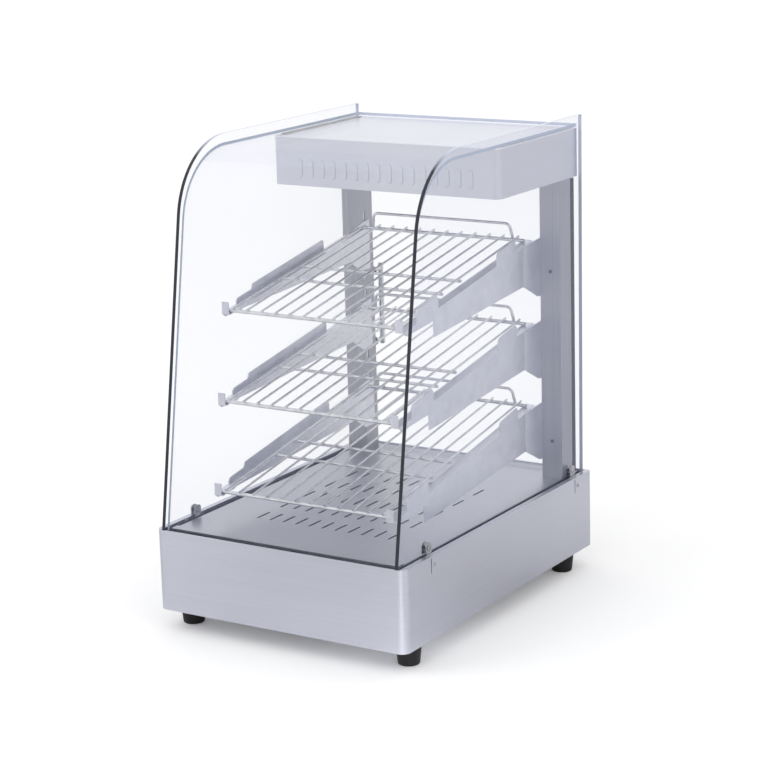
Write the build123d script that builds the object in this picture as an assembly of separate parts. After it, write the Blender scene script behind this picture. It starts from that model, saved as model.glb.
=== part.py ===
from build123d import *
import math
import os

# Heated display case: a stainless base with the heater, side glasses and one curved front glass,
# a header box with the lamp, two slotted posts, three sloping wire racks and a hinged rear door.
# Millimetres. +Z is up, +X is the customer's right, -Y is the customer's side.
# The origin is on the surface it stands on, under the middle of the overall box, whose rear end is
# the thermostat knob. The model is drawn about the middle of the base and moved there at the end.

# Overall sizes
case_width = 380.0
case_depth = 500.0
foot_height = 28.0
base_height = 109.0
glass_rise = 497.0
glass_lean = 9.1

# Sheet, glass and general clearances
sheet = 1.2
thick_sheet = 1.5
side_glass_thick = 5.0
front_glass_thick = 4.0
door_glass_thick = 4.0
loose_gap = 0.3
edge_gap = 0.5
inside_gap = 1.8

# How far a cut runs past the face that it opens
cut_over = 1.0

# Base
corner_radius = 12.0
rear_corner_radius = 2.0
side_rim = 7.7
front_rim = 2.2
rear_rim = 3.5
bottom_flange = 50.0
rear_return = 14.0
rear_panel_lap = 10.0
rail_drop = 12.0
rail_width = 24.0
rail_leg = 15.0
bottom_slot_count = 7
bottom_slot_pitch = 30.0
bottom_slot_length = 60.0
bottom_slot_width = 5.0

# Glass and its channels
side_glass_inset = 9.5
channel_wall = 1.6
channel_floor = 3.0
channel_height = 9.0
channel_end_gap = 1.0
side_front_gap = 0.3
top_curve_radius = 110.0
front_glass_setback = 4.5
roof_drop = 12.0
side_glass_rear_gap = 1.0
roof_rear_gap = 5.0

# Deck
deck_drop = 2.0
deck_side_gap = 0.3
deck_hem = 13.0
vent_slot_length = 29.0
vent_slot_width = 3.4
vent_columns = 11
vent_rows = 5
vent_pitch_x = 20.4
vent_pitch_y = 54.5
vent_forward = 20.0

# Feet
foot_top_radius = 17.0
foot_bottom_radius = 14.0
foot_edge_radius = 2.0
foot_from_side = 23.0
foot_from_end = 44.0
foot_recess_depth = 16.8
foot_recess_radius = 12.0
foot_screw_radius = 2.5
foot_screw_clearance = 0.1
foot_head_height = 2.5
foot_screw_reach = 8.0

# Header
header_depth = 215.5
header_height = 66.0
header_side_gap = 1.0
header_corner_radius = 9.0
header_rear_corner = 0.5
header_rear_gap = 4.0
header_flange = 34.0
header_rear_flange = 51.0
header_panel_lap = 12.0
motif_count = 16
motif_pitch = 17.6
motif_width = 8.0
motif_height = 25.0
motif_depth = 1.4
motif_edge_radius = 0.84
motif_above_underside = 24.0
seal_thick = 1.5
seal_width = 8.0
seal_from_side = 4.0
seal_from_front = 15.0
seal_from_rear = 10.0

# Posts
post_width = 31.0
post_depth = 30.0
post_from_rear = 54.0
post_slot_width = 3.2
post_slot_height = 13.0
post_slot_from_front = 7.0
post_front_hole_rises = (51.0, 289.0)
post_front_hole_radius = 1.75
slots_per_level = 4
slot_below_rail = 18.0
lowest_slot_rise = 40.0

# Racks, counted from the top one
rack_slope = 9.9
rack_rear_above_base = 442.5
rack_level_pitch = 115.0
rack_before_post = 22.0
rack_from_front = 102.0
rack_front_step = 17.0
rack_side_gap = 6.5
rail_radius = 2.5
cross_bar_radius = 2.0
wire_radius = 1.5
wire_count = 12
wire_side_margin = 10.0
wire_rear_overhang = 4.0
cross_bars_from_front = (118.0, 166.0)
stop_side_margin = 19.0
stop_height = 21.0
stop_bend_radius = 8.0
stop_lean = 4.0

# Brackets
bracket_from_post = 6.0
bracket_sheet = 1.5
ledge_width = 12.5
ledge_tail = 12.0
lip_height = 15.0
lip_gap = 1.0
lip_inset = 2.0
lip_chamfer = 6.0
bracket_fold_before_post = 39.0
bracket_lap = 9.0
strip_depth = 12.0
left_depth_front = 13.0
left_depth_rear = 45.0
left_taper_start = 40.0
left_guard_start = 28.0
left_guard_step_end = 63.0
left_guard_end = 84.0
guard_height = 11.0
guard_step_height = 4.5
guard_bevel = 3.0
right_depth_front = 36.0
right_depth_rear = 57.0
right_taper_start = 68.0
right_tab_height = 17.0
right_tab_corner = 4.0
right_front_tab_start = 26.0
right_front_tab_length = 54.0
right_rear_tab_start = 88.0
right_rear_tab_length = 50.0
flare_drop = 19.0
flare_corner = 6.0
wing_corner = 2.0
wing_bend = 1.0
hook_length = 4.0
hook_height = 10.0

# Rear door
pivot_from_rear = 16.0
stile_radius = 6.0
stile_side_gap = 0.5
stile_groove_stop = 1.5
pivot_radius = 2.5
pivot_clearance = 0.05
pivot_length = 4.0
door_bottom_gap = 4.0
door_top_gap = 3.0
door_free_gap = 3.5
door_stile_rise = 1.5
door_corner = 6.0
handle_height = 120.0
handle_stand = 22.0
handle_bar_radius = 4.0
handle_from_edge = 20.0
handle_post_inset = 8.0
handle_post_radius = 3.2
handle_washer_radius = 6.4
handle_washer_thick = 2.0
handle_bolt_radius = 2.5
handle_nut_radius = 5.2
handle_nut_height = 2.5
catch_width = 18.0
catch_height = 30.0
catch_from_post = 6.0
catch_above_middle = 100.0

# Heater
element_radius = 4.0
element_above_base = 62.0
element_from_side = 80.0
element_from_end = 100.0
element_bend_radius = 28.0
element_terminal_x = 30.0
element_tail = 45.0
element_pin_length = 12.0
saddle_width = 18.0
saddle_sheet = 2.0
saddle_foot_length = 12.0
saddle_rise = 4.0
reflector_above_base = 34.0
reflector_side_margin = 35.0
reflector_end_margin = 22.0
reflector_leg_length = 45.0

# Thermostat, its bulb and its knob
control_height = 56.0
knob_from_side = 70.0
thermostat_width = 40.0
thermostat_depth = 30.0
thermostat_height = 34.0
thermostat_corner = 4.0
terminal_width = 6.0
terminal_length = 10.0
terminal_thick = 0.8
terminal_from_middle = 10.0
shaft_radius = 3.0
shaft_clearance = 0.05
shaft_bore_depth = 14.0
shaft_end_gap = 1.0
bulb_from_element = 25.0
bulb_length = 90.0
bulb_radius = 4.0
bulb_below_deck = 6.0
bulb_clip_length = 8.0
bulb_clip_wall = 2.0
knob_radius = 20.0
knob_length = 18.0
knob_gap = 0.6
knob_skirt = 5.0
knob_grip_radius = 15.6
knob_edge_radius = 2.0
flute_count = 18
flute_radius = 1.6
flute_circle_radius = 16.4
pointer_rise = 0.8
pointer_width = 2.0
pointer_start = 2.0
pointer_end = 14.0

# Power switch and indicator
switch_from_knob = 58.0
switch_width = 13.0
switch_height = 19.0
switch_depth = 20.0
switch_wall = 1.5
switch_bezel = 2.0
bezel_rise = 1.0
switch_well_depth = 9.0
rocker_pin_radius = 1.0
rocker_pin_depth = 3.0
rocker_pin_seat = 0.8
rocker_pin_end_gap = 0.1
rocker_side_gap = 0.4
rocker_end_gap = 1.1
rocker_crown = 2.6
rocker_dip = 1.0
rocker_edge = 2.0
rocker_keel = 2.4
rocker_tilt = 12.0
indicator_from_switch = 42.0
indicator_radius = 5.0
indicator_depth = 22.0
indicator_flange = 2.0
flange_rise = 1.0
lens_rise = 3.0
lens_edge_radius = 2.0

# Cord inlet, louvres and terminal block
gland_from_side = 55.0
gland_height = 38.0
gland_radius = 8.0
gland_bore_radius = 3.8
gland_inside_length = 12.0
gland_hexagon_radius = 12.0
gland_hexagon_height = 6.0
gland_nut_height = 5.0
gland_dome_foot = 9.6
gland_dome_tip = 6.4
gland_dome_height = 10.0
louvre_from_gland = 75.0
louvre_above_base = 36.0
louvre_rows = 4
louvre_pitch = 12.0
louvre_length = 40.0
louvre_width = 4.0
terminal_block_from_gland = 40.0
terminal_block_from_panel = 45.0
terminal_block_length = 36.0
terminal_block_depth = 18.0
terminal_block_height = 14.0
terminal_block_ways = 3
terminal_block_pitch = 11.0
wire_hole_rise = 8.0
wire_hole_radius = 2.4
clamp_hole_radius = 2.2

# Lamp and its window
lamp_window_x = 62.0
lamp_window_y = 30.0
lamp_forward = 8.0
lamp_above_underside = 29.7
cover_rim = 5.0
cover_thick = 2.0
socket_radius = 13.0
socket_length = 28.0
socket_x = -70.0
strap_sheet = 2.0
strap_width = 20.0
strap_foot_length = 14.0
strap_below_lamp = 10.0
cap_radius = 8.0
cap_length = 12.0
bulb_glass_radius = 12.0
bulb_glass_length = 75.0
bulb_tip_radius = 10.0
bulb_neck_radius = 3.0

# Glass clips, two on each side
clip_from_front = 74.0
clip_behind_post_front = 16.0
clip_width = 13.0
clip_sheet = 1.5
clip_corner = 5.0
clip_rise = 15.0
clip_pocket_gap = 1.0
clip_screw_drop = 12.5
clip_screw_radius = 1.75
clip_screw_length = 5.0
clip_head_radius = 2.72
clip_head_height = 1.0
clip_bolt_radius = 2.0
clip_bolt_height = 8.0
clip_bolt_tail = 3.0
bolt_head_radius = 3.6
bolt_head_height = 1.6
slit_width = 1.6
slit_length = 22.0

# Fasteners
small_screw_radius = 1.75
small_head_radius = 3.4
small_head_height = 1.8
panel_screw_length = 8.0
post_screw_length = 7.0
rear_screw_insets = (22.0, 20.0)
post_hole_inset = 9.0

# Worked-out heights
base_bottom = foot_height
rim = foot_height + base_height
glass_top = rim + glass_rise
rail_top = rim - rail_drop
glass_foot = rail_top + channel_floor
deck_top = rim - deck_drop
roof_top = glass_top - roof_drop
header_top = roof_top - front_glass_thick - seal_thick
header_bottom = header_top - header_height
control_z = base_bottom + control_height
gland_z = base_bottom + gland_height
lamp_z = header_bottom + lamp_above_underside
clip_screw_z = rim - clip_screw_drop
clip_bolt_z = rim + clip_bolt_height
door_bottom = deck_top + door_bottom_gap
door_top = header_bottom - door_top_gap
door_middle = (door_bottom + door_top) / 2
handle_post_heights = (door_middle - handle_height / 2 + handle_post_inset,
                       door_middle + handle_height / 2 - handle_post_inset)
rear_screw_heights = (base_bottom + rear_screw_insets[0], rim - rear_screw_insets[1])

# Worked-out places from the middle to the sides
half_width = case_width / 2
glass_outer_x = half_width - side_glass_inset
glass_inner_x = glass_outer_x - side_glass_thick
deck_half = glass_inner_x - channel_wall - deck_side_gap
header_half = glass_inner_x - header_side_gap
post_outer_x = glass_inner_x - header_side_gap
post_inner_x = post_outer_x - post_width
bracket_x = post_inner_x - bracket_from_post
rack_half_width = bracket_x - rack_side_gap
wire_pitch = 2 * (rack_half_width - wire_side_margin) / (wire_count - 1)
stop_half_width = rack_half_width - stop_side_margin
pivot_x = glass_inner_x - stile_side_gap - stile_radius
handle_x = -glass_inner_x + door_free_gap + handle_from_edge
foot_x = half_width - foot_from_side
rear_screw_x = half_width - rear_return / 2 - sheet
element_half_width = half_width - element_from_side
bulb_x = -element_half_width + bulb_from_element
knob_x = -half_width + knob_from_side
switch_x = knob_x + switch_from_knob
indicator_x = switch_x + indicator_from_switch
gland_x = half_width - gland_from_side
louvre_x = gland_x - louvre_from_gland
terminal_block_x = gland_x - terminal_block_from_gland

# Worked-out places from front to rear
half_depth = case_depth / 2
lean = math.tan(math.radians(glass_lean))
slope = math.tan(math.radians(rack_slope))
front_glass_run = front_glass_thick / math.cos(math.radians(glass_lean))
side_front_y = -half_depth + front_rim + side_front_gap
front_glass_y = side_front_y + front_glass_setback / math.cos(math.radians(glass_lean))
inside_rear_y = half_depth - 2 * sheet - inside_gap
rear_panel_y = half_depth - 2 * sheet
panel_face_y = half_depth - sheet
deck_rear_y = half_depth - rear_rim - deck_side_gap
header_rear_y = half_depth - header_rear_gap
header_front_y = header_rear_y - header_depth
post_front_y = half_depth - post_from_rear
post_rear_y = post_front_y + post_depth
post_slot_y = post_front_y + post_slot_from_front
rack_rear_y = post_front_y - rack_before_post
fold_y = post_front_y - bracket_fold_before_post
pivot_y = half_depth - pivot_from_rear
vent_middle_y = -vent_forward
foot_y = half_depth - foot_from_end
element_half_length = half_depth - element_from_end
rocker_pivot_y = half_depth - rocker_pin_depth
lamp_y = (header_front_y + header_rear_y) / 2 - lamp_forward
clip_places = (-half_depth + clip_from_front, post_front_y + clip_behind_post_front)
post_foot_holes = ((post_inner_x + post_hole_inset, post_rear_y - post_hole_inset),
                   (post_outer_x - post_hole_inset, post_rear_y - post_hole_inset))
pad_thick = header_side_gap
rear_reach = knob_gap + knob_length + pointer_rise


def block(x0, x1, y0, y1, z0, z1):
    """A box between two corners."""
    middle = ((x0 + x1) / 2, (y0 + y1) / 2, (z0 + z1) / 2)
    return Pos(*middle) * Box(abs(x1 - x0), abs(y1 - y0), abs(z1 - z0))


def rod(start, end, radius):
    """A straight round bar from one point to another."""
    run = Vector(*end) - Vector(*start)
    return Solid.make_cylinder(radius, run.length, Plane(origin=start, z_dir=run))


def side_profile(points, x0, x1):
    """A closed outline of (y, z) points, made solid from x0 to x1."""
    face = Plane.YZ.offset(min(x0, x1)) * make_face(Polyline(*points, close=True))
    return extrude(face, abs(x1 - x0))


def mirror_x(shape):
    return mirror(shape, Plane.YZ)


def both_sides(shape):
    return [shape, mirror_x(shape)]


def pan_screw(centre, direction, head_radius, head_height, shank_radius, shank_length):
    """A pan-head screw whose head sits on the point and whose shank runs back from it."""
    seat = Plane(origin=centre, z_dir=direction)
    head = Solid.make_cylinder(head_radius, head_height, seat)
    rim_edge = head.edges().filter_by(GeomType.CIRCLE).sort_by(Axis(centre, direction))[-1]
    head = fillet(rim_edge, head_height * 0.6)
    back = Plane(origin=centre, z_dir=Vector(*direction) * -1)
    shank = Solid.make_cylinder(shank_radius, shank_length, back)
    slot = seat.offset(head_height) * Box(head_radius * 1.2, head_radius * 0.3, head_height * 0.6)
    return head + shank - slot


def base_outline(inset):
    """Plan of the base: soft front corners, nearly sharp rear ones."""
    plan = Rectangle(case_width - 2 * inset, case_depth - 2 * inset)
    plan = fillet(plan.vertices().group_by(Axis.Y)[0], corner_radius - inset)
    return fillet(plan.vertices().group_by(Axis.Y)[-1], rear_corner_radius - inset)


def base_shell():
    """Front and sides in one sheet, with its rim, bottom flange and rear returns."""
    outer = Pos(0, 0, base_bottom) * extrude(base_outline(0), base_height)
    inner = Pos(0, 0, base_bottom + sheet) * extrude(base_outline(sheet), base_height - 2 * sheet)
    shell = outer - inner
    open_half = half_width - side_rim
    shell -= block(-open_half, open_half, -half_depth + front_rim, half_depth - rear_rim,
                   rim - 2 * sheet, rim + cut_over)
    floor_half = half_width - bottom_flange
    floor_end = half_depth - bottom_flange
    shell -= block(-floor_half, floor_half, -floor_end, floor_end, base_bottom - cut_over,
                   base_bottom + 2 * sheet)
    back_half = half_width - rear_return
    shell -= block(-back_half, back_half, rear_panel_y, half_depth + cut_over, base_bottom + rear_return,
                   rim - rear_return / 2)
    inner_wall = half_width - 2 * sheet
    notch_outer_x = glass_outer_x + clip_sheet + 2 * loose_gap
    for x in (-1, 1):
        for y in clip_places:
            notch_half = clip_width / 2 + loose_gap
            slit_end = y - clip_width / 2 - cut_over
            shell -= block(x * inner_wall, x * (half_width + cut_over), slit_end - slit_width, slit_end,
                           rim - slit_length, rim - 2 * sheet)
            shell -= block(x * (open_half - cut_over), x * notch_outer_x, y - notch_half, y + notch_half,
                           rim - 2 * sheet, rim + cut_over)
            shell -= rod((x * inner_wall, y, clip_screw_z), (x * (half_width + cut_over), y, clip_screw_z),
                         clip_screw_radius + loose_gap)
        for y in (-1, 1):
            shell -= rod((x * foot_x, y * foot_y, base_bottom - cut_over),
                         (x * foot_x, y * foot_y, base_bottom + 2 * sheet), foot_screw_radius + loose_gap)
        for z in rear_screw_heights:
            shell -= rod((x * rear_screw_x, rear_panel_y, z), (x * rear_screw_x, half_depth + cut_over, z),
                         small_screw_radius + loose_gap)
    return shell


def base_bottom_plate():
    """Lies on the shell's bottom flange and closes the base."""
    x = half_width - 2 * sheet
    low = base_bottom + sheet
    plate = block(-x, x, -inside_rear_y, inside_rear_y, low, low + sheet)
    plate = fillet(plate.edges().filter_by(Axis.Z), corner_radius)
    for sx in (-1, 1):
        for sy in (-1, 1):
            plate -= rod((sx * foot_x, sy * foot_y, low - cut_over),
                         (sx * foot_x, sy * foot_y, low + sheet + cut_over), foot_screw_radius + loose_gap)
    slot = extrude(SlotOverall(bottom_slot_length, bottom_slot_width, rotation=90), 3 * sheet)
    for i in range(bottom_slot_count):
        slot_x = (i - (bottom_slot_count - 1) / 2) * bottom_slot_pitch
        plate -= Pos(slot_x, 0, base_bottom) * slot
    return plate


def base_rear_panel():
    """Control panel behind the shell's rear returns."""
    x = half_width - rear_return + rear_panel_lap
    z0 = base_bottom + 2 * sheet
    z1 = rim - sheet - loose_gap
    panel = block(-x, x, rear_panel_y, panel_face_y, z0, z1)
    inside = rear_panel_y - cut_over
    outside = half_depth + cut_over
    panel -= rod((knob_x, inside, control_z), (knob_x, outside, control_z), shaft_radius + cut_over)
    panel -= block(switch_x - switch_width / 2, switch_x + switch_width / 2, inside, outside,
                   control_z - switch_height / 2, control_z + switch_height / 2)
    panel -= rod((indicator_x, inside, control_z), (indicator_x, outside, control_z), indicator_radius)
    panel -= rod((gland_x, inside, gland_z), (gland_x, outside, gland_z), gland_radius)
    louvre = extrude(SlotOverall(louvre_length, louvre_width), outside - inside)
    for row in range(louvre_rows):
        z = base_bottom + louvre_above_base + row * louvre_pitch
        panel -= Plane(origin=(louvre_x, inside, z), x_dir=(1, 0, 0), z_dir=(0, 1, 0)) * louvre
    for sx in (-1, 1):
        for z in rear_screw_heights:
            panel -= rod((sx * rear_screw_x, inside, z), (sx * rear_screw_x, outside, z),
                         small_screw_radius + loose_gap)
    return panel


def panel_screws():
    """Screws that hold the rear panel to the returns."""
    screws = []
    for sx in (-1, 1):
        for z in rear_screw_heights:
            screws.append(pan_screw((sx * rear_screw_x, half_depth, z), (0, 1, 0), small_head_radius,
                                    small_head_height, small_screw_radius, panel_screw_length))
    return screws


def deck_rail(side):
    """Angle on the base's side wall that carries the side channel and the deck."""
    wall = half_width - sheet
    front = -half_depth + corner_radius
    top = block(wall - rail_width, wall, front, inside_rear_y, rail_top - thick_sheet, rail_top)
    leg = block(wall - thick_sheet, wall, front, inside_rear_y, rail_top - rail_leg, rail_top)
    rail = top + leg
    for y in clip_places:
        notch_half = clip_width / 2 + clip_pocket_gap
        rail -= block(glass_outer_x - loose_gap, wall + cut_over, y - notch_half, y + notch_half,
                      rail_top - rail_leg - cut_over, rail_top + cut_over)
    return rail if side > 0 else mirror_x(rail)


def deck_rail_front():
    """Angle along the front wall, under the front channel."""
    wall = -half_depth + sheet
    half = half_width - sheet - rail_width - edge_gap
    top = block(-half, half, wall, wall + rail_width, rail_top - thick_sheet, rail_top)
    leg = block(-half, half, wall, wall + thick_sheet, rail_top - rail_leg, rail_top)
    return top + leg


def lean_y(front, z):
    """Y of a front plane that leans back from the rim, at a height."""
    return front + lean * (z - rim)


def glass_curve(front, top, radius, start_z, rear):
    """The edges of one glass surface: up the lean, round the bend and back along the top."""
    angle = math.radians(glass_lean)
    corner_y = lean_y(front, top)
    reach = radius * math.tan((math.pi / 2 - angle) / 2)
    first = (corner_y - reach * math.sin(angle), top - reach * math.cos(angle))
    last = (corner_y + reach, top)
    turn = (math.radians(270) - angle) / 2
    middle = (last[0] + radius * math.cos(turn), top - radius + radius * math.sin(turn))
    start = (lean_y(front, start_z), start_z)
    return start, first, middle, last, (rear, top)


def side_glass(side):
    """Flat side glass with the big top curve and two bolt holes at its foot."""
    rear = half_depth - side_glass_rear_gap
    start, first, middle, last, end = glass_curve(side_front_y, glass_top, top_curve_radius, rim, rear)
    foot = (side_front_y, glass_foot)
    heel = (rear - rear_rim, rim + loose_gap)
    heel_foot = (rear - rear_rim, glass_foot)
    edges = [Line(foot, start), Line(start, first), ThreePointArc(first, middle, last), Line(last, end),
             Line(end, heel), Line(heel, heel_foot), Line(heel_foot, foot)]
    face = Plane.YZ.offset(glass_inner_x) * make_face(Curve() + edges)
    glass = extrude(face, side_glass_thick)
    for y in clip_places:
        glass -= rod((glass_inner_x - cut_over, y, clip_bolt_z), (glass_outer_x + cut_over, y, clip_bolt_z),
                     clip_bolt_radius + loose_gap)
    return glass if side > 0 else mirror_x(glass)


def front_glass():
    """Front, bend and roof in one curved sheet between the side glasses."""
    rear = half_depth - roof_rear_gap
    radius = top_curve_radius - (front_glass_setback + roof_drop) / 2
    start, first, middle, last, end = glass_curve(front_glass_y, roof_top, radius, glass_foot, rear)
    start2, first2, middle2, last2, end2 = glass_curve(
        front_glass_y + front_glass_run, roof_top - front_glass_thick, radius - front_glass_thick,
        glass_foot, rear)
    edges = [Line(start, first), ThreePointArc(first, middle, last), Line(last, end), Line(end, end2),
             Line(end2, last2), ThreePointArc(last2, middle2, first2), Line(first2, start2),
             Line(start2, start)]
    half = glass_inner_x - edge_gap
    face = Plane.YZ.offset(-half) * make_face(Curve() + edges)
    return extrude(face, 2 * half)


def side_channel(side):
    """Rubber channel that the side glass stands in."""
    front = front_glass_y + front_glass_thick + channel_wall + channel_end_gap
    rear = half_depth - rear_rim - 2 * loose_gap
    channel = block(glass_inner_x - channel_wall, glass_outer_x + channel_wall, front, rear, rail_top,
                    rail_top + channel_height)
    channel -= block(glass_inner_x, glass_outer_x, front - cut_over, rear + cut_over, glass_foot, rim)
    for y in clip_places:
        notch_half = clip_width / 2 + loose_gap
        channel -= block(glass_outer_x, half_width, y - notch_half, y + notch_half, rail_top - cut_over, rim)
    return channel if side > 0 else mirror_x(channel)


def front_channel():
    """Rubber channel along the front, its groove leaning with the glass."""
    top = rail_top + channel_height
    inner = front_glass_run
    outer = front_glass_run + channel_wall

    def at(offset, z):
        return (lean_y(front_glass_y + offset, z), z)

    points = [at(-channel_wall, rail_top), at(-channel_wall, top), at(0, top), at(0, glass_foot),
              at(inner, glass_foot), at(inner, top), at(outer, top), at(outer, rail_top)]
    return side_profile(points, -deck_half, deck_half)


def deck_plate():
    """Slotted floor of the case, with its raised front hem and turned-down edges."""
    front = front_glass_y + front_glass_run + channel_wall + 2 * edge_gap
    hem_back = front + deck_hem
    under = deck_top - 2 * sheet
    plate = block(-deck_half, deck_half, hem_back - sheet, deck_rear_y, deck_top - sheet, deck_top)
    plate += block(-deck_half, deck_half, front, hem_back, rim - sheet, rim)
    plate += block(-deck_half, deck_half, hem_back - sheet, hem_back, deck_top - sheet, rim)
    plate += block(-deck_half, deck_half, front, front + sheet, rail_top, rim)
    plate += block(-deck_half, deck_half, deck_rear_y - sheet, deck_rear_y, rail_top, deck_top)
    for x in (-1, 1):
        plate += block(x * deck_half, x * (deck_half - sheet), front, deck_rear_y, rail_top, deck_top)
        plate += block(x * deck_half, x * (deck_half - sheet), front, hem_back, rail_top, rim)
        for hole in post_foot_holes:
            plate -= rod((x * hole[0], hole[1], under), (x * hole[0], hole[1], deck_top + cut_over),
                         small_screw_radius + loose_gap)
    slot = extrude(SlotOverall(vent_slot_length, vent_slot_width, rotation=90), 3 * sheet)
    for row in range(vent_rows):
        for column in range(vent_columns):
            x = (column - (vent_columns - 1) / 2) * vent_pitch_x
            y = vent_middle_y + (row - (vent_rows - 1) / 2) * vent_pitch_y
            plate -= Pos(x, y, under) * slot
    plate -= rod((pivot_x, pivot_y, under), (pivot_x, pivot_y, deck_top + cut_over),
                 pivot_radius + pivot_clearance)
    return plate


def foot(x, y):
    """Tapered rubber foot with a recess for its screw."""
    body = Solid.make_cone(foot_bottom_radius, foot_top_radius, foot_height)
    body = fillet(body.edges().sort_by(Axis.Z)[0], foot_edge_radius)
    body -= Solid.make_cylinder(foot_recess_radius, foot_recess_depth)
    body -= Solid.make_cylinder(foot_screw_radius + foot_screw_clearance, foot_height + cut_over)
    return Pos(x * foot_x, y * foot_y, 0) * body


def foot_screws():
    """Screws up through the feet, the shell's flange and the bottom plate."""
    screws = []
    for x in (-1, 1):
        for y in (-1, 1):
            centre = (x * foot_x, y * foot_y, foot_recess_depth)
            screws.append(pan_screw(centre, (0, 0, -1), foot_screw_radius * 2, foot_head_height,
                                    foot_screw_radius, base_bottom + foot_screw_reach - foot_recess_depth))
    return screws


def heating_element():
    """Tubular element, bent in one loop under the deck, with its two tails to the rear."""
    z = base_bottom + element_above_base
    x = element_half_width
    y = element_half_length
    t = element_terminal_x
    tail_end = y + element_tail
    points = [(-t, tail_end, z), (-t, y, z), (-x, y, z), (-x, -y, z), (x, -y, z), (x, y, z), (t, y, z),
              (t, tail_end, z)]
    path = FilletPolyline(*points, radius=element_bend_radius)
    tube = sweep(Plane(origin=points[0], z_dir=(0, -1, 0)) * Circle(element_radius), path=path)
    for side in (-1, 1):
        tube += rod((side * t, tail_end, z), (side * t, tail_end + element_pin_length, z), element_radius / 2)
    return tube


def heater_brackets():
    """Four saddles that hold the element above the reflector."""
    z = base_bottom + element_above_base
    seat = base_bottom + reflector_above_base + sheet
    half = saddle_width / 2
    saddles = []
    for x in (-1, 1):
        for y in (-1, 1):
            px = x * element_half_width
            y0 = y * element_half_length / 2 - saddle_sheet / 2
            y1 = y0 + saddle_sheet
            body = block(px - half, px + half, y0, y1, seat, z + element_radius + saddle_rise)
            body += block(px - half, px + half, y0, y0 + saddle_foot_length, seat, seat + saddle_sheet)
            body -= rod((px, y0 - cut_over, z), (px, y1 + cut_over, z), element_radius + loose_gap)
            saddles.append(body)
    return saddles


def heat_reflector():
    """Bright plate under the element, standing on four turned-down legs."""
    z = base_bottom + reflector_above_base
    floor = base_bottom + 2 * sheet
    x = element_half_width + reflector_side_margin
    y = element_half_length + reflector_end_margin
    plate = block(-x, x, -y, y, z, z + sheet)
    for sx in (-1, 1):
        for sy in (-1, 1):
            plate += block(sx * x, sx * (x - sheet), sy * (y - reflector_leg_length), sy * y, floor, z)
    return plate


def thermostat_body():
    """Capillary thermostat behind the rear panel, bored for the knob's spindle."""
    front = rear_panel_y - thermostat_depth
    half = thermostat_width / 2
    body = block(knob_x - half, knob_x + half, front, rear_panel_y, control_z - thermostat_height / 2,
                 control_z + thermostat_height / 2)
    body = fillet(body.edges().filter_by(Axis.Y), thermostat_corner)
    for side in (-1, 1):
        x = knob_x + side * terminal_from_middle
        body += block(x - terminal_width / 2, x + terminal_width / 2, front - terminal_length, front,
                      control_z - terminal_thick / 2, control_z + terminal_thick / 2)
    return body - rod((knob_x, rear_panel_y - shaft_bore_depth, control_z),
                      (knob_x, rear_panel_y + cut_over, control_z), shaft_radius + shaft_clearance)


def thermostat_bulb():
    """Sensing bulb clipped under the deck."""
    under = deck_top - sheet
    z = under - bulb_below_deck
    half = bulb_length / 2
    bulb = rod((bulb_x, -half, z), (bulb_x, half, z), bulb_radius)
    clip_half = bulb_radius + bulb_clip_wall
    clip = block(bulb_x - clip_half, bulb_x + clip_half, 0, bulb_clip_length, z - clip_half, under)
    clip -= rod((bulb_x, -cut_over, z), (bulb_x, bulb_clip_length + cut_over, z), bulb_radius)
    return bulb + clip


def thermostat_knob():
    """Round knob with a fluted grip and a raised pointer, on its spindle."""
    back = half_depth + knob_gap
    step = back + knob_skirt
    face = back + knob_length
    knob = rod((knob_x, back, control_z), (knob_x, step, control_z), knob_radius)
    grip = rod((knob_x, step, control_z), (knob_x, face, control_z), knob_grip_radius)
    face_edge = grip.edges().filter_by(GeomType.CIRCLE).sort_by(Axis.Y)[-1]
    knob += fillet(face_edge, knob_edge_radius)
    for i in range(flute_count):
        angle = 2 * math.pi * i / flute_count
        x = knob_x + flute_circle_radius * math.cos(angle)
        z = control_z + flute_circle_radius * math.sin(angle)
        knob -= rod((x, step + cut_over, z), (x, face + cut_over, z), flute_radius)
    knob += block(knob_x - pointer_width / 2, knob_x + pointer_width / 2, face - cut_over,
                  face + pointer_rise, control_z + pointer_start, control_z + pointer_end)
    spindle_end = rear_panel_y - shaft_bore_depth + shaft_end_gap
    return knob + rod((knob_x, spindle_end, control_z), (knob_x, step, control_z), shaft_radius)


def power_switch_body():
    """Snap-in switch case with its bezel outside the rear panel."""
    w = switch_width / 2
    h = switch_height / 2
    face = half_depth + bezel_rise
    body = block(switch_x - w, switch_x + w, rear_panel_y - switch_depth, panel_face_y, control_z - h,
                 control_z + h)
    body += block(switch_x - w - switch_bezel, switch_x + w + switch_bezel, panel_face_y, face,
                  control_z - h - switch_bezel, control_z + h + switch_bezel)
    body -= block(switch_x - w + switch_wall, switch_x + w - switch_wall, half_depth - switch_well_depth,
                  face + cut_over, control_z - h + switch_wall, control_z + h - switch_wall)
    pin_seat_x = switch_x + w - switch_wall + rocker_pin_seat
    return body - rod((switch_x - w - cut_over, rocker_pivot_y, control_z),
                      (pin_seat_x, rocker_pivot_y, control_z), rocker_pin_radius + shaft_clearance)


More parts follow.
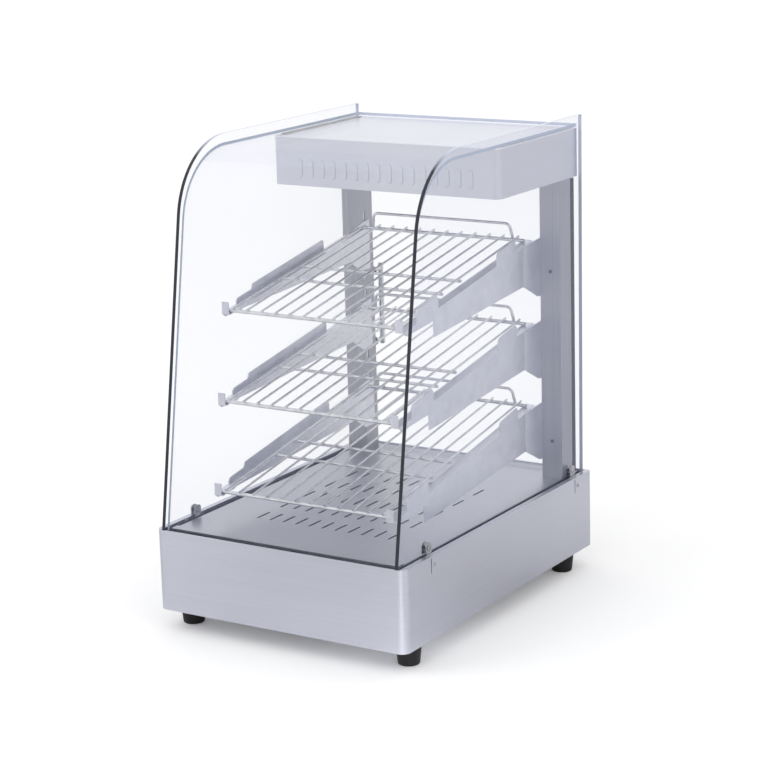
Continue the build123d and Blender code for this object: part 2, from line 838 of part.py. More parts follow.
def power_rocker():
    """Rocker on its cross pin, tilted to OFF at rest."""
    w = switch_width / 2 - switch_wall - rocker_side_gap
    h = switch_height / 2 - switch_wall - rocker_end_gap
    crown = half_depth + rocker_crown
    keel = rocker_pivot_y - rocker_keel
    outline = [(keel, -h * 0.6), (crown - rocker_edge, -h), (crown, -h * 0.86), (crown - rocker_dip, 0),
               (crown, h * 0.86), (crown - rocker_edge, h), (keel, h * 0.6)]
    rocker = side_profile([(y, control_z + z) for y, z in outline], switch_x - w, switch_x + w)
    pin_start = switch_x - switch_width / 2 + rocker_pin_end_gap
    pin_end = switch_x + switch_width / 2 - switch_wall + rocker_pin_seat - rocker_pin_end_gap
    pin = rod((pin_start, rocker_pivot_y, control_z), (pin_end, rocker_pivot_y, control_z), rocker_pin_radius)
    axis = Axis((switch_x, rocker_pivot_y, control_z), (1, 0, 0))
    return (rocker + pin).rotate(axis, rocker_tilt)


def indicator_lamp():
    """Small round mains indicator with a domed lens."""
    seat = half_depth + flange_rise
    body = rod((indicator_x, rear_panel_y - indicator_depth, control_z),
               (indicator_x, panel_face_y, control_z), indicator_radius)
    flange = rod((indicator_x, panel_face_y, control_z), (indicator_x, seat, control_z),
                 indicator_radius + indicator_flange)
    lens = rod((indicator_x, seat, control_z), (indicator_x, seat + lens_rise, control_z), indicator_radius)
    lens = fillet(lens.edges().filter_by(GeomType.CIRCLE).sort_by(Axis.Y)[-1], lens_edge_radius)
    return body + flange + lens


def cable_gland():
    """Cord inlet: a nut inside, a hexagon and dome outside, and a bore for the cord."""
    inner_end = rear_panel_y - gland_inside_length
    dome_foot = panel_face_y + gland_hexagon_height
    outer_end = dome_foot + gland_dome_height
    barrel = rod((gland_x, inner_end, gland_z), (gland_x, panel_face_y, gland_z), gland_radius)
    hexagon = RegularPolygon(gland_hexagon_radius, 6)
    outside = Plane(origin=(gland_x, panel_face_y, gland_z), z_dir=(0, 1, 0)) * extrude(
        hexagon, gland_hexagon_height)
    nut = Plane(origin=(gland_x, rear_panel_y, gland_z), z_dir=(0, -1, 0)) * extrude(
        hexagon, gland_nut_height)
    dome = Solid.make_cone(gland_dome_foot, gland_dome_tip, gland_dome_height,
                           Plane(origin=(gland_x, dome_foot, gland_z), z_dir=(0, 1, 0)))
    bore = rod((gland_x, inner_end - cut_over, gland_z), (gland_x, outer_end + cut_over, gland_z),
               gland_bore_radius)
    return barrel + outside + nut + dome - bore


def terminal_block():
    """Terminal block on the bottom plate, between the gland and the switch."""
    z = base_bottom + 2 * sheet
    y = rear_panel_y - terminal_block_from_panel
    top = z + terminal_block_height
    length = terminal_block_length / 2
    depth = terminal_block_depth / 2
    body = block(terminal_block_x - length, terminal_block_x + length, y - depth, y + depth, z, top)
    hole_z = z + wire_hole_rise
    for i in range(terminal_block_ways):
        x = terminal_block_x + (i - (terminal_block_ways - 1) / 2) * terminal_block_pitch
        body -= rod((x, y - depth - cut_over, hole_z), (x, y + depth + cut_over, hole_z), wire_hole_radius)
        body -= rod((x, y, hole_z), (x, y, top + cut_over), clamp_hole_radius)
    return body


def header_outline(inset):
    """Plan of the header: soft front corners, nearly sharp rear ones."""
    plan = Rectangle(2 * (header_half - inset), header_rear_y - header_front_y - 2 * inset)
    plan = fillet(plan.vertices().group_by(Axis.Y)[0], header_corner_radius - inset)
    return Pos(0, (header_rear_y + header_front_y) / 2) * plan


def header_motif(width, height, y0, y1):
    """The row of pressed pills, as solids between two depths."""
    z = header_bottom + motif_above_underside
    pill = extrude(SlotOverall(height, width, rotation=90), y1 - y0)
    pills = []
    for i in range(motif_count):
        x = (i - (motif_count - 1) / 2) * motif_pitch
        pills.append(Plane(origin=(x, y1, z), x_dir=(1, 0, 0), z_dir=(0, -1, 0)) * pill)
    return pills


def header_shell():
    """Header walls in one sheet with pressed pills on the front and a bottom flange all round."""
    outer = Pos(0, 0, header_bottom) * extrude(header_outline(0), header_height - sheet)
    inner = Pos(0, 0, header_bottom + sheet) * extrude(header_outline(sheet), header_height)
    shell = outer - inner
    y0 = header_front_y + header_flange
    y1 = header_rear_y - header_rear_flange
    x = header_half - header_flange
    low = header_bottom - cut_over
    high = header_bottom + 2 * sheet
    shell -= block(-x, x, y0, y1, low, high)
    front = header_front_y - motif_depth
    for pill in header_motif(motif_width, motif_height, front, header_front_y + sheet / 2):
        shell += fillet(pill.edges().group_by(Axis.Y)[0], motif_edge_radius)
    inside = motif_width - 2 * sheet
    behind = header_front_y + sheet + cut_over
    for pill in header_motif(inside, motif_height - 2 * sheet, front + sheet, behind):
        shell -= pill
    shell -= rod((pivot_x, pivot_y, low), (pivot_x, pivot_y, high), pivot_radius + pivot_clearance)
    for side in (-1, 1):
        for hole in post_foot_holes:
            shell -= rod((side * hole[0], hole[1], low), (side * hole[0], hole[1], high),
                         small_screw_radius + loose_gap)
    return shell


def header_top_cover():
    """Lid of the header."""
    return Pos(0, 0, header_top) * extrude(header_outline(0), -sheet)


def header_bottom_panel():
    """Panel over the header's bottom opening, with the lamp window."""
    z = header_bottom + sheet
    y0 = header_front_y + header_flange - header_panel_lap
    y1 = header_rear_y - header_rear_flange + header_panel_lap
    x = header_half - header_flange + header_panel_lap
    panel = block(-x, x, y0, y1, z, z + sheet)
    return panel - block(-lamp_window_x, lamp_window_x, lamp_y - lamp_window_y, lamp_y + lamp_window_y,
                         z - cut_over, z + sheet + cut_over)


def lamp_cover():
    """Frosted window with a rim on the panel's upper side."""
    low = header_bottom
    seat = header_bottom + 2 * sheet
    top = seat + cover_thick
    x = lamp_window_x - loose_gap
    y = lamp_window_y - loose_gap
    cover = block(-x, x, lamp_y - y, lamp_y + y, low, seat)
    cover += block(-x - cover_rim, x + cover_rim, lamp_y - y - cover_rim, lamp_y + y + cover_rim,
                   seat, top)
    x -= cover_thick
    y -= cover_thick
    return cover - block(-x, x, lamp_y - y, lamp_y + y, low + cover_thick, top + cut_over)


def lamp_socket():
    """Porcelain socket hung from the lid by its bracket."""
    lid = header_top - sheet
    y0 = lamp_y - strap_width / 2
    y1 = lamp_y + strap_width / 2
    strap_x = socket_x - strap_sheet
    body = rod((socket_x, lamp_y, lamp_z), (socket_x + socket_length, lamp_y, lamp_z), socket_radius)
    strap = block(strap_x, socket_x, y0, y1, lamp_z - strap_below_lamp, lid)
    strap_foot = block(strap_x, strap_x + strap_foot_length, y0, y1, lid - strap_sheet, lid)
    return body + strap + strap_foot


def lamp():
    """Tubular bulb with its metal cap screwed in the socket's mouth."""
    cap_x = socket_x + socket_length
    neck_x = cap_x + cap_length
    cap = rod((cap_x, lamp_y, lamp_z), (neck_x, lamp_y, lamp_z), cap_radius)
    bulb = rod((neck_x, lamp_y, lamp_z), (neck_x + bulb_glass_length, lamp_y, lamp_z), bulb_glass_radius)
    bulb = fillet(bulb.edges().filter_by(GeomType.CIRCLE).sort_by(Axis.X)[-1], bulb_tip_radius)
    bulb = fillet(bulb.edges().filter_by(GeomType.CIRCLE).sort_by(Axis.X)[0], bulb_neck_radius)
    return cap + bulb


def roof_seal():
    """Thin strips between the header's lid and the roof glass."""
    outer = header_half - seal_from_side
    strip = block(outer - seal_width, outer, header_front_y + seal_from_front, header_rear_y - seal_from_rear,
                  header_top, header_top + seal_thick)
    return both_sides(strip)


def slot_heights():
    """Centres of the posts' slots: every rack level falls on the same place in the row."""
    pitch = rack_level_pitch / slots_per_level
    top = base_bottom + rack_rear_above_base - slot_below_rail
    count = int((top - deck_top - lowest_slot_rise) / pitch) + 1
    return [top - i * pitch for i in range(-1, count)]


def post(side):
    """Slotted upright: a channel open to the rear, with a foot and a head flange."""
    x0 = post_inner_x
    x1 = post_outer_x
    y0 = post_front_y
    y1 = post_rear_y
    z0 = deck_top
    z1 = header_bottom
    wall = thick_sheet
    body = block(x0, x1, y0, y1, z0, z1)
    body -= block(x0 + wall, x1 - wall, y0 + wall, y1 + cut_over, z0 + wall, z1 - wall)
    for z in slot_heights():
        body -= block(x0 - cut_over, x0 + 2 * wall, post_slot_y, post_slot_y + post_slot_width,
                      z - post_slot_height / 2, z + post_slot_height / 2)
    middle_x = (x0 + x1) / 2
    for rise in post_front_hole_rises:
        body -= rod((middle_x, y0 - cut_over, rim + rise), (middle_x, y0 + 2 * wall, rim + rise),
                    post_front_hole_radius)
    body -= rod((x1 - 2 * wall, clip_places[-1], clip_bolt_z), (x1 + cut_over, clip_places[-1], clip_bolt_z),
                clip_bolt_radius)
    for hole in post_foot_holes:
        body -= rod((hole[0], hole[1], z0 - cut_over), (hole[0], hole[1], z0 + 2 * wall),
                    small_screw_radius + loose_gap)
        body -= rod((hole[0], hole[1], z1 - 2 * wall), (hole[0], hole[1], z1 + cut_over),
                    small_screw_radius + loose_gap)
    return body if side > 0 else mirror_x(body)


def post_screws():
    """Screws through the posts' feet and heads."""
    screws = []
    for side in (-1, 1):
        for hole in post_foot_holes:
            low = (side * hole[0], hole[1], deck_top + thick_sheet)
            high = (side * hole[0], hole[1], header_bottom - thick_sheet)
            screws.append(pan_screw(low, (0, 0, 1), small_head_radius, small_head_height, small_screw_radius,
                                    post_screw_length))
            screws.append(pan_screw(high, (0, 0, -1), small_head_radius, small_head_height, small_screw_radius,
                                    post_screw_length))
    return screws


def rack_front(level):
    """Y of a rack's front rail: each lower rack reaches further forward."""
    return -half_depth + rack_from_front - level * rack_front_step


def rack_z(level, y):
    """Height of the rails' centres of one rack, at a depth."""
    rear = base_bottom + rack_rear_above_base - level * rack_level_pitch
    return rear + slope * (y - rack_rear_y)


def rack_point(level, x, along, lift):
    """A point of a rack, from its distance behind the front rail and its height off the plane."""
    angle = math.radians(rack_slope)
    y = rack_front(level) + along * math.cos(angle) - lift * math.sin(angle)
    z = rack_z(level, rack_front(level)) + along * math.sin(angle) + lift * math.cos(angle)
    return (x, y, z)


def rack_length(level):
    return (rack_rear_y - rack_front(level)) / math.cos(math.radians(rack_slope))


def rack(level):
    """Two rails, two cross bars, twelve wires on top of them and the bent back stop."""
    length = rack_length(level)
    pieces = []
    for along in (0, length):
        pieces.append(rod(rack_point(level, -rack_half_width, along, 0),
                          rack_point(level, rack_half_width, along, 0), rail_radius))
    bar_half = rack_half_width - wire_side_margin + 2 * wire_radius
    bar_lift = rail_radius - cross_bar_radius
    for along in cross_bars_from_front:
        pieces.append(rod(rack_point(level, -bar_half, along, bar_lift),
                          rack_point(level, bar_half, along, bar_lift), cross_bar_radius))
    wire_lift = rail_radius + wire_radius
    for i in range(wire_count):
        x = (i - (wire_count - 1) / 2) * wire_pitch
        pieces.append(rod(rack_point(level, x, -rail_radius, wire_lift),
                          rack_point(level, x, length + wire_rear_overhang, wire_lift), wire_radius))
    pieces.append(back_stop(level, length))
    return pieces


def back_stop(level, length):
    """The bent wire behind the rear rail that keeps food from sliding through."""
    radius = cross_bar_radius
    along = length + rail_radius + radius
    foot_left = rack_point(level, -stop_half_width, along, -rail_radius)
    head_left = rack_point(level, -stop_half_width + stop_lean, along, stop_height)
    head_right = rack_point(level, stop_half_width - stop_lean, along, stop_height)
    foot_right = rack_point(level, stop_half_width, along, -rail_radius)
    path = FilletPolyline(foot_left, head_left, head_right, foot_right, radius=stop_bend_radius)
    start = Plane(origin=foot_left, z_dir=Vector(*head_left) - Vector(*foot_left))
    return sweep(start * Circle(radius), path=path)


def ledge_top(level, y):
    """Z of the ledges that a rack rests on, just under its rails."""
    return rack_z(level, y) - rail_radius / math.cos(math.radians(rack_slope)) - loose_gap


def bracket(level, side):
    """Shelf bracket: tapered plate, ledge under the rails, front lip, guards and rear hooks."""
    right = side > 0
    front = rack_front(level)
    inner = bracket_x
    outer = bracket_x + bracket_sheet
    ledge_x = bracket_x - ledge_width
    lip_y = front - rail_radius - lip_gap
    depth_front = right_depth_front if right else left_depth_front
    depth_rear = right_depth_rear if right else left_depth_rear
    taper_y = front + (right_taper_start if right else left_taper_start)
    plate_foot = rack_z(level, fold_y) - depth_rear

    def top(y, rise=0.0):
        return ledge_top(level, y) + rise

    outline = [(lip_y, top(lip_y)), (fold_y, top(fold_y)), (fold_y, plate_foot),
               (taper_y, rack_z(level, taper_y) - depth_front), (taper_y, top(taper_y, -strip_depth)),
               (lip_y + lip_chamfer, top(lip_y, -strip_depth / 2)), (lip_y, top(lip_y, -bracket_sheet))]
    body = side_profile(outline, inner, outer)

    if right:
        tabs = ((front + right_front_tab_start, right_front_tab_length),
                (rack_rear_y - right_rear_tab_start, right_rear_tab_length))
        for y0, tab_length in tabs:
            y1 = y0 + tab_length
            low = right_tab_height - right_tab_corner
            body += side_profile([(y0, top(y0, -cut_over)), (y0, top(y0, low)),
                                  (y0 + right_tab_corner, top(y0, right_tab_height)),
                                  (y1 - right_tab_corner, top(y1, right_tab_height)),
                                  (y1, top(y1, low)), (y1, top(y1, -cut_over))], inner, outer)
    else:
        step = rack_z(level, front) - top(front) + guard_step_height
        high = rack_z(level, front) - top(front) + guard_height
        y0 = front + left_guard_start
        y1 = front + left_guard_step_end
        y2 = rack_rear_y - left_guard_end
        bevel = guard_bevel
        body += side_profile([(y0, top(y0, -cut_over)), (y0, top(y0, step - bevel)),
                              (y0 + bevel, top(y0 + bevel, step)), (y1, top(y1, step)),
                              (y1 + bevel, top(y1 + bevel, high)), (y2 - bevel, top(y2 - bevel, high)),
                              (y2, top(y2, high - bevel)), (y2, top(y2, -cut_over))], inner, outer)

    tail_y = rack_rear_y + ledge_tail
    body += side_profile([(lip_y, top(lip_y)), (tail_y, top(tail_y)), (tail_y, top(tail_y, -bracket_sheet)),
                          (lip_y, top(lip_y, -bracket_sheet))], ledge_x, inner)
    body += block(ledge_x + lip_inset, inner, lip_y - bracket_sheet, lip_y, top(lip_y, -bracket_sheet),
                  top(lip_y, lip_height))

    contact = post_inner_x
    wing_end = post_slot_y + post_slot_width + bracket_lap
    flare = plate_foot - flare_drop
    wing_top = top(wing_end)
    wing_face = Pos(0, 0, flare) * make_face(Polyline(
        (inner, fold_y), (outer, fold_y), (contact, post_front_y - wing_corner), (contact, wing_end),
        (contact - bracket_sheet, wing_end), (contact - bracket_sheet, post_front_y - wing_bend), close=True))
    body += extrude(wing_face, wing_top - flare)
    inside = inner - cut_over
    outside = contact + cut_over
    past = wing_end + cut_over
    body -= side_profile([(fold_y, top(fold_y)), (past, top(past)), (past, wing_top + cut_over),
                          (fold_y, wing_top + cut_over)], inside, outside)
    corner_y = post_front_y - flare_corner
    body -= side_profile([(fold_y - cut_over, flare - cut_over), (fold_y - cut_over, plate_foot),
                          (fold_y, plate_foot), (corner_y, flare), (corner_y, flare - cut_over)],
                         inside, outside)
    for z in slot_heights():
        if flare < z - post_slot_height / 2 and z + post_slot_height / 2 < top(post_front_y):
            hook_y = post_slot_y + loose_gap
            body += block(contact - bracket_sheet, contact + hook_length, hook_y,
                          hook_y + post_slot_width - 2 * loose_gap, z - hook_height / 2, z + hook_height / 2)
    return body if right else mirror_x(body)


def glass_clips():
    """Four strips that hold the side glasses to the base, each with its pad inside the glass."""
    clips = []
    wall = half_width - sheet
    low = rim - slit_length
    top = rim + clip_rise
    for y in clip_places:
        y0 = y - clip_width / 2
        y1 = y + clip_width / 2
        outer_x = glass_outer_x + clip_sheet
        strip = block(glass_outer_x, outer_x, y0, y1, low, top)
        strip += block(glass_outer_x, wall, y0, y1, low, low + clip_sheet)
        strip += block(wall - clip_sheet, wall, y0, y1, low, rim - 2 * sheet - loose_gap)
        strip = fillet(strip.edges().filter_by(Axis.X).group_by(Axis.Z)[-1], clip_corner)
        strip -= rod((wall - clip_sheet - cut_over, y, clip_screw_z), (half_width, y, clip_screw_z),
                     clip_screw_radius)
        strip -= rod((glass_outer_x - cut_over, y, clip_bolt_z), (outer_x + cut_over, y, clip_bolt_z),
                     clip_bolt_radius)
        pad_x = glass_inner_x - pad_thick
        pad = block(pad_x, glass_inner_x, y0, y1, rim + loose_gap, top)
        pad = fillet(pad.edges().filter_by(Axis.X).group_by(Axis.Z)[-1], clip_corner)
        pad -= rod((pad_x - cut_over, y, clip_bolt_z), (glass_inner_x + cut_over, y, clip_bolt_z),
                   clip_bolt_radius)
        clips += both_sides(strip) + both_sides(pad)
    return clips


def clip_screws():
    """Wall screws of the clips and the bolts through the glass."""
    screws = []
    bolt_length = clip_sheet + side_glass_thick + pad_thick + clip_bolt_tail
    for y in clip_places:
        wall_screw = pan_screw((half_width, y, clip_screw_z), (1, 0, 0), clip_head_radius, clip_head_height,
                               clip_screw_radius, clip_screw_length)
        bolt = pan_screw((glass_outer_x + clip_sheet, y, clip_bolt_z), (1, 0, 0), bolt_head_radius,
                         bolt_head_height, clip_bolt_radius, bolt_length)
        screws += both_sides(wall_screw) + both_sides(bolt)
    return screws


def door_stile():
    """Round black hinge stile with its two pivot pins and a groove for the glass."""
    low = door_bottom - door_stile_rise
    high = door_top + door_stile_rise
    glass_half = door_glass_thick / 2
    stile = rod((pivot_x, pivot_y, low), (pivot_x, pivot_y, high), stile_radius)
    stile -= block(pivot_x - stile_radius - cut_over, pivot_x - stile_groove_stop, pivot_y - glass_half,
                   pivot_y + glass_half, low - cut_over, high + cut_over)
    stile += rod((pivot_x, pivot_y, deck_top - pivot_length), (pivot_x, pivot_y, door_bottom), pivot_radius)
    stile += rod((pivot_x, pivot_y, door_top), (pivot_x, pivot_y, header_bottom + pivot_length), pivot_radius)
    return stile


def door_glass():
    """Frameless door glass, held in the stile."""
    free_x = -glass_inner_x + door_free_gap
    front = pivot_y - door_glass_thick / 2
    back = pivot_y + door_glass_thick / 2
    pane = block(free_x, pivot_x - stile_groove_stop, front, back, door_bottom, door_top)
    pane = fillet(pane.edges().filter_by(Axis.Y).group_by(Axis.X)[0], door_corner)
    for z in handle_post_heights:
        pane -= rod((handle_x, front - cut_over, z), (handle_x, back + cut_over, z),
                    handle_bolt_radius + loose_gap)
    return pane


def door_handle():
    """Bar handle on two posts, bolted through the glass."""
    back = pivot_y + door_glass_thick / 2
    front = pivot_y - door_glass_thick / 2
    bar_y = back + handle_stand
    nut_y = front - handle_nut_height
    bar = rod((handle_x, bar_y, door_middle - handle_height / 2),
              (handle_x, bar_y, door_middle + handle_height / 2), handle_bar_radius)
    for index in (0, -1):
        end = bar.edges().filter_by(GeomType.CIRCLE).sort_by(Axis.Z)[index]
        bar = fillet(end, handle_bar_radius / 2)
    for z in handle_post_heights:
        bar += rod((handle_x, back, z), (handle_x, bar_y, z), handle_post_radius)
        bar += rod((handle_x, back, z), (handle_x, back + handle_washer_thick, z), handle_washer_radius)
        bar += rod((handle_x, nut_y, z), (handle_x, back, z), handle_bolt_radius)
        bar += rod((handle_x, nut_y, z), (handle_x, front, z), handle_nut_radius)
    return bar


def door_catch():
    """Magnet block behind the left post that the closed door rests against."""
    right_x = -post_inner_x - catch_from_post
    middle_z = door_middle + catch_above_middle
    door_face = pivot_y - door_glass_thick / 2 - loose_gap
    return block(right_x - catch_width, right_x, post_front_y + thick_sheet, door_face,
                 middle_z - catch_height / 2, middle_z + catch_height / 2)


parts = {
    "base_shell": base_shell(),
    "base_rear_panel": base_rear_panel(),
    "base_bottom_plate": base_bottom_plate(),
    "panel_screws": panel_screws(),
    "deck_rail_left": deck_rail(-1),
    "deck_rail_right": deck_rail(1),
    "deck_rail_front": deck_rail_front(),
    "deck_plate": deck_plate(),
    "foot_front_left": foot(-1, -1),
    "foot_front_right": foot(1, -1),
    "foot_rear_left": foot(-1, 1),
    "foot_rear_right": foot(1, 1),
    "foot_screws": foot_screws(),
    "heating_element": heating_element(),
    "heater_brackets": heater_brackets(),
    "heat_reflector": heat_reflector(),
    "thermostat_body": thermostat_body(),
    "thermostat_bulb": thermostat_bulb(),
    "thermostat_knob": thermostat_knob(),
    "power_switch_body": power_switch_body(),
    "power_rocker": power_rocker(),
    "indicator_lamp": indicator_lamp(),
    "cable_gland": cable_gland(),
    "terminal_block": terminal_block(),
    "header_shell": header_shell(),
    "header_top_cover": header_top_cover(),
    "header_bottom_panel": header_bottom_panel(),
    "lamp_cover": lamp_cover(),
    "lamp_socket": lamp_socket(),
    "lamp": lamp(),
    "roof_seal": roof_seal(),
    "post_left": post(-1),
    "post_right": post(1),
    "post_screws": post_screws(),
    "side_glass_left": side_glass(-1),
    "side_glass_right": side_glass(1),
    "front_glass": front_glass(),
    "side_channel_left": side_channel(-1),
    "side_channel_right": side_channel(1),
    "front_channel": front_channel(),
    "glass_clips": glass_clips(),
    "clip_screws": clip_screws(),
    "door_glass": door_glass(),
    "door_stile": door_stile(),
    "door_handle": door_handle(),
    "door_catch": door_catch(),
}
for level, name in enumerate(("top", "middle", "bottom")):
    parts["rack_" + name] = rack(level)
    parts["bracket_left_" + name] = bracket(level, -1)
    parts["bracket_right_" + name] = bracket(level, 1)

os.makedirs("parts", exist_ok=True)
to_middle = Pos(0, -rear_reach / 2, 0)
for node, shape in parts.items():
    solids = shape if isinstance(shape, list) else [shape]
    pieces = [to_middle * solid for piece in solids for solid in piece.solids()]
    export_step(Compound(children=pieces), "parts/" + node + ".step")
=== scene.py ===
import math

import bmesh
import bpy
from mathutils import Matrix, Vector

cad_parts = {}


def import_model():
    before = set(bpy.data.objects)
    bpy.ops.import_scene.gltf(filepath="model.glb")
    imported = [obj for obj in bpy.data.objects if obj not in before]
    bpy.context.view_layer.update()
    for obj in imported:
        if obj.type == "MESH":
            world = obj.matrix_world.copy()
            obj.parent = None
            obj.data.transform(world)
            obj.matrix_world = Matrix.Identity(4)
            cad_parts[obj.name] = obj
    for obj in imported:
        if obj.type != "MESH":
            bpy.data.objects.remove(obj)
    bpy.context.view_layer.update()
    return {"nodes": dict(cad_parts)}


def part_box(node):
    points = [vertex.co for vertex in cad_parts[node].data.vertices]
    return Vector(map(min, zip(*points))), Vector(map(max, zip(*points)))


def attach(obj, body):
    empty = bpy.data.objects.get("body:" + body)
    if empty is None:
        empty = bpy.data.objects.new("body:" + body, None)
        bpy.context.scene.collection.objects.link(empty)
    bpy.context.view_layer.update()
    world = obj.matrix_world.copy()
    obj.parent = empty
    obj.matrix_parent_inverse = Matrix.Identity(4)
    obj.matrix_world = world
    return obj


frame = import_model()
nodes = frame["nodes"]

# The camera where the photograph was taken from, in degrees, millimetres of lens and sensor, and metres
CAMERA_AZIMUTH = 32.281
CAMERA_ELEVATION = 13.930
CAMERA_ROLL = -1.616
CAMERA_LENS = 108.54
CAMERA_SENSOR = 36.0
CAMERA_PLACE = (1.6092, -2.5391, 1.0395)
CAMERA_REACH = 50.0

# Square lamps, in watts and metres, and the point that both are aimed at
KEY_POWER = 26.0
KEY_PLACE = (-2.2, -2.6, 3.2)
KEY_SIDE = 2.2
FILL_POWER = 9.0
FILL_PLACE = (3.0, -1.0, 2.0)
FILL_SIDE = 2.0
LAMP_TARGET = (0, 0, 0.3)

# The world's strength on surfaces, a little less than the full white that the eye sees
WORLD_DIFFUSE = 0.92
WHITE = 1.0

# The floor: half its side, its grey to the eye and in the light it gives back, and its glow to the eye
FLOOR_HALF = 9.0
FLOOR_SEEN = 1.0
FLOOR_REAL = 0.6
FLOOR_LIFT = 0.1
FLOOR_ROUGHNESS = 0.9
FLOOR_SPECULAR = 0.1

# What polished metal sees of the floor, a painted reflection: grey clouds that paint soft darker patches on
# the metal, and one glowing strip running out from the corner that paints the bright highlight on the base's
# rounded corner
MIRROR_DARK = 0.70
MIRROR_LIGHT = 1.0
MIRROR_CLOUDS = 1.7
MIRROR_START = 0.35
MIRROR_END = 0.65
STRIP_START = (0.178, -0.258)
STRIP_TURN = math.radians(-58)
STRIP_HALF = 0.13
STRIP_LIFT = 0.45

# Shades of each finish, the darker one first
BASE_STEEL = ((0.57, 0.58, 0.66), (0.63, 0.64, 0.72))
# The posts' steel is set darker than the other steel: painted shade, standing in for the darker reflections
# on the posts
POST_STEEL_PAINTED_SHADE = ((0.35, 0.355, 0.39), (0.44, 0.445, 0.48))
DECK_STEEL = ((0.46, 0.47, 0.52), (0.55, 0.56, 0.61))
HEADER_STEEL = ((0.66, 0.67, 0.72), (0.72, 0.73, 0.78))
# The top cover's steel is set near white: painted light, the top made lighter for the light that falls on it
# from above
LID_STEEL_PAINTED_LIGHT = ((0.90, 0.91, 0.93), (0.95, 0.955, 0.97))
BRACKET_STEEL = ((0.68, 0.69, 0.75), (0.78, 0.79, 0.85))
ROLLED_STEEL = ((0.38, 0.38, 0.40), (0.48, 0.48, 0.50))
CHROME = ((0.62, 0.625, 0.64), (0.80, 0.805, 0.82))
SCREW_STEEL = ((0.40, 0.40, 0.42), (0.55, 0.55, 0.57))
HEATER_STEEL = ((0.14, 0.12, 0.11), (0.24, 0.21, 0.19))
BLACK_RUBBER = ((0.012, 0.012, 0.013), (0.022, 0.022, 0.024))
BLACK_PLASTIC = ((0.018, 0.018, 0.02), (0.03, 0.03, 0.033))
BLACK_PAINT = ((0.006, 0.006, 0.008), (0.012, 0.012, 0.014))
GREY_PLASTIC = ((0.40, 0.40, 0.39), (0.47, 0.47, 0.46))
RED_PLASTIC = ((0.42, 0.02, 0.012), (0.52, 0.03, 0.018))
BULB_WHITE = ((0.93, 0.90, 0.84), (0.98, 0.96, 0.92))
FROSTED_WHITE = (0.88, 0.88, 0.86)
PORCELAIN_WHITE = (0.85, 0.83, 0.78)
POINTER_WHITE = (0.86, 0.86, 0.84)

# Colours of the glass and of its cut edges; the edges' colours are painted light where they face up or end
# at the rear, and painted shade elsewhere
GLASS_TINT = (0.66, 0.70, 0.93)
GLASS_EDGE_PAINTED_LIGHT = (0.62, 0.67, 0.80)
SIDE_EDGE_PAINTED_SHADE = (0.012, 0.015, 0.028)
FRONT_EDGE_PAINTED_SHADE = (0.48, 0.55, 0.66)
DOOR_TINT = (0.78, 0.82, 0.92)
DOOR_EDGE_PAINTED_LIGHT = (0.35, 0.42, 0.45)
DOOR_EDGE_PAINTED_SHADE = (0.12, 0.16, 0.17)

# A cut edge is known by its normal's part along an axis, a pale one, painted light, by facing up or by its
# place at the rear
EDGE_LIMIT = 0.5
ROOF_END_LIMIT = 0.995
UPWARD_START = 0.8
REAR_EDGE = 0.005

# How much of a clear face shows, as a smeared film and at a slant, and how rough the glass is
FILM_LEAST = 0.85
FILM_SPREAD = 0.3
SLANT_BLEND = 0.15
SLANT_SHARE = 0.12
GLASS_ROUGHNESS = 0.03
EDGE_ROUGHNESS = 0.12

# Grain of sheet metal, in noise cells per metre along X, Y and Z
GRAIN_LEVEL = (6, 6, 2200)
GRAIN_UPRIGHT = (700, 700, 5)
GRAIN_DECK = (6, 1500, 6)
GRAIN_LID = (6, 1800, 6)
GRAIN_BRACKET = (60, 60, 60)
GRAIN_PLAIN = (50, 50, 50)
GRAIN_SHARE = 0.6

# Soft clouds in each finish, in noise cells per metre
SHEET_CLOUDS = 6.0
SHEET_SHADE = 0.05
WIRE_CLOUDS = 90.0
MOULDED_CLOUDS = 35.0
FROST_CLOUDS = 60.0
FROST_SHADE = 0.94
BULB_CLOUDS = 40.0
GLASS_CLOUDS = 7.0

# How far the roughness of each finish falls and rises with its noise
SHEET_FALL = 0.06
SHEET_RISE = 0.08
WIRE_FALL = 0.05
WIRE_RISE = 0.07
MOULDED_FALL = 0.05
MOULDED_RISE = 0.06
FROST_ROUGHNESS = (0.35, 0.5)
BULB_ROUGHNESS = (0.05, 0.12)

# Depth of surface relief, reach of light inside frosted pieces, and how much of the bulb's glass shows
RELIEF_DEPTH = 0.0002
FROST_REACH = 0.004
BULB_ALPHA = 0.45

# Racks with their bodies: slope, rails, wires, and the cross bars' distances behind the front rail
RACKS = {"rack_top": "top_rack", "rack_middle": "middle_rack", "rack_bottom": "bottom_rack"}
RACK_SLOPE = math.radians(9.9)
RACK_REACH = 0.0034
RACK_BEFORE_POST = 0.022
RAIL_RADIUS = 0.0025
WIRE_COUNT = 12
WIRE_PITCH = 0.022
CROSS_BARS = (0.118, 0.166)

# Weld beads, wider and flatter than a ball
BEAD_RADIUS = 0.0019
BEAD_SHAPE = (1.15, 1.15, 0.45)
BEAD_LIFT = 0.0001

# Caps in the holes of the posts' front faces, above the base's rim; shares are of radius and height
CAP_RISES = (0.051, 0.289)
CAP_RADIUS = 0.0026
CAP_HEIGHT = 0.0012
CAP_STEM_SHARE = 0.62
CAP_STEM_LENGTH = 0.0014
CAP_SHOULDER_SHARE = 0.94
CAP_SHOULDER_HEIGHT_SHARE = 0.5
CAP_CROWN_SHARE = 0.6
CAP_SINK = 0.0001
TURNED_STEPS = 24

# Coiled filament of the lamp, and the gaps from the lamp's two ends to it
FILAMENT_LEFT_GAP = 0.03
FILAMENT_RIGHT_GAP = 0.012
FILAMENT_TURNS = 26
FILAMENT_STEPS = 10
FILAMENT_COIL_RADIUS = 0.0022
FILAMENT_WIRE_RADIUS = 0.0003
FILAMENT_BEVEL = 2

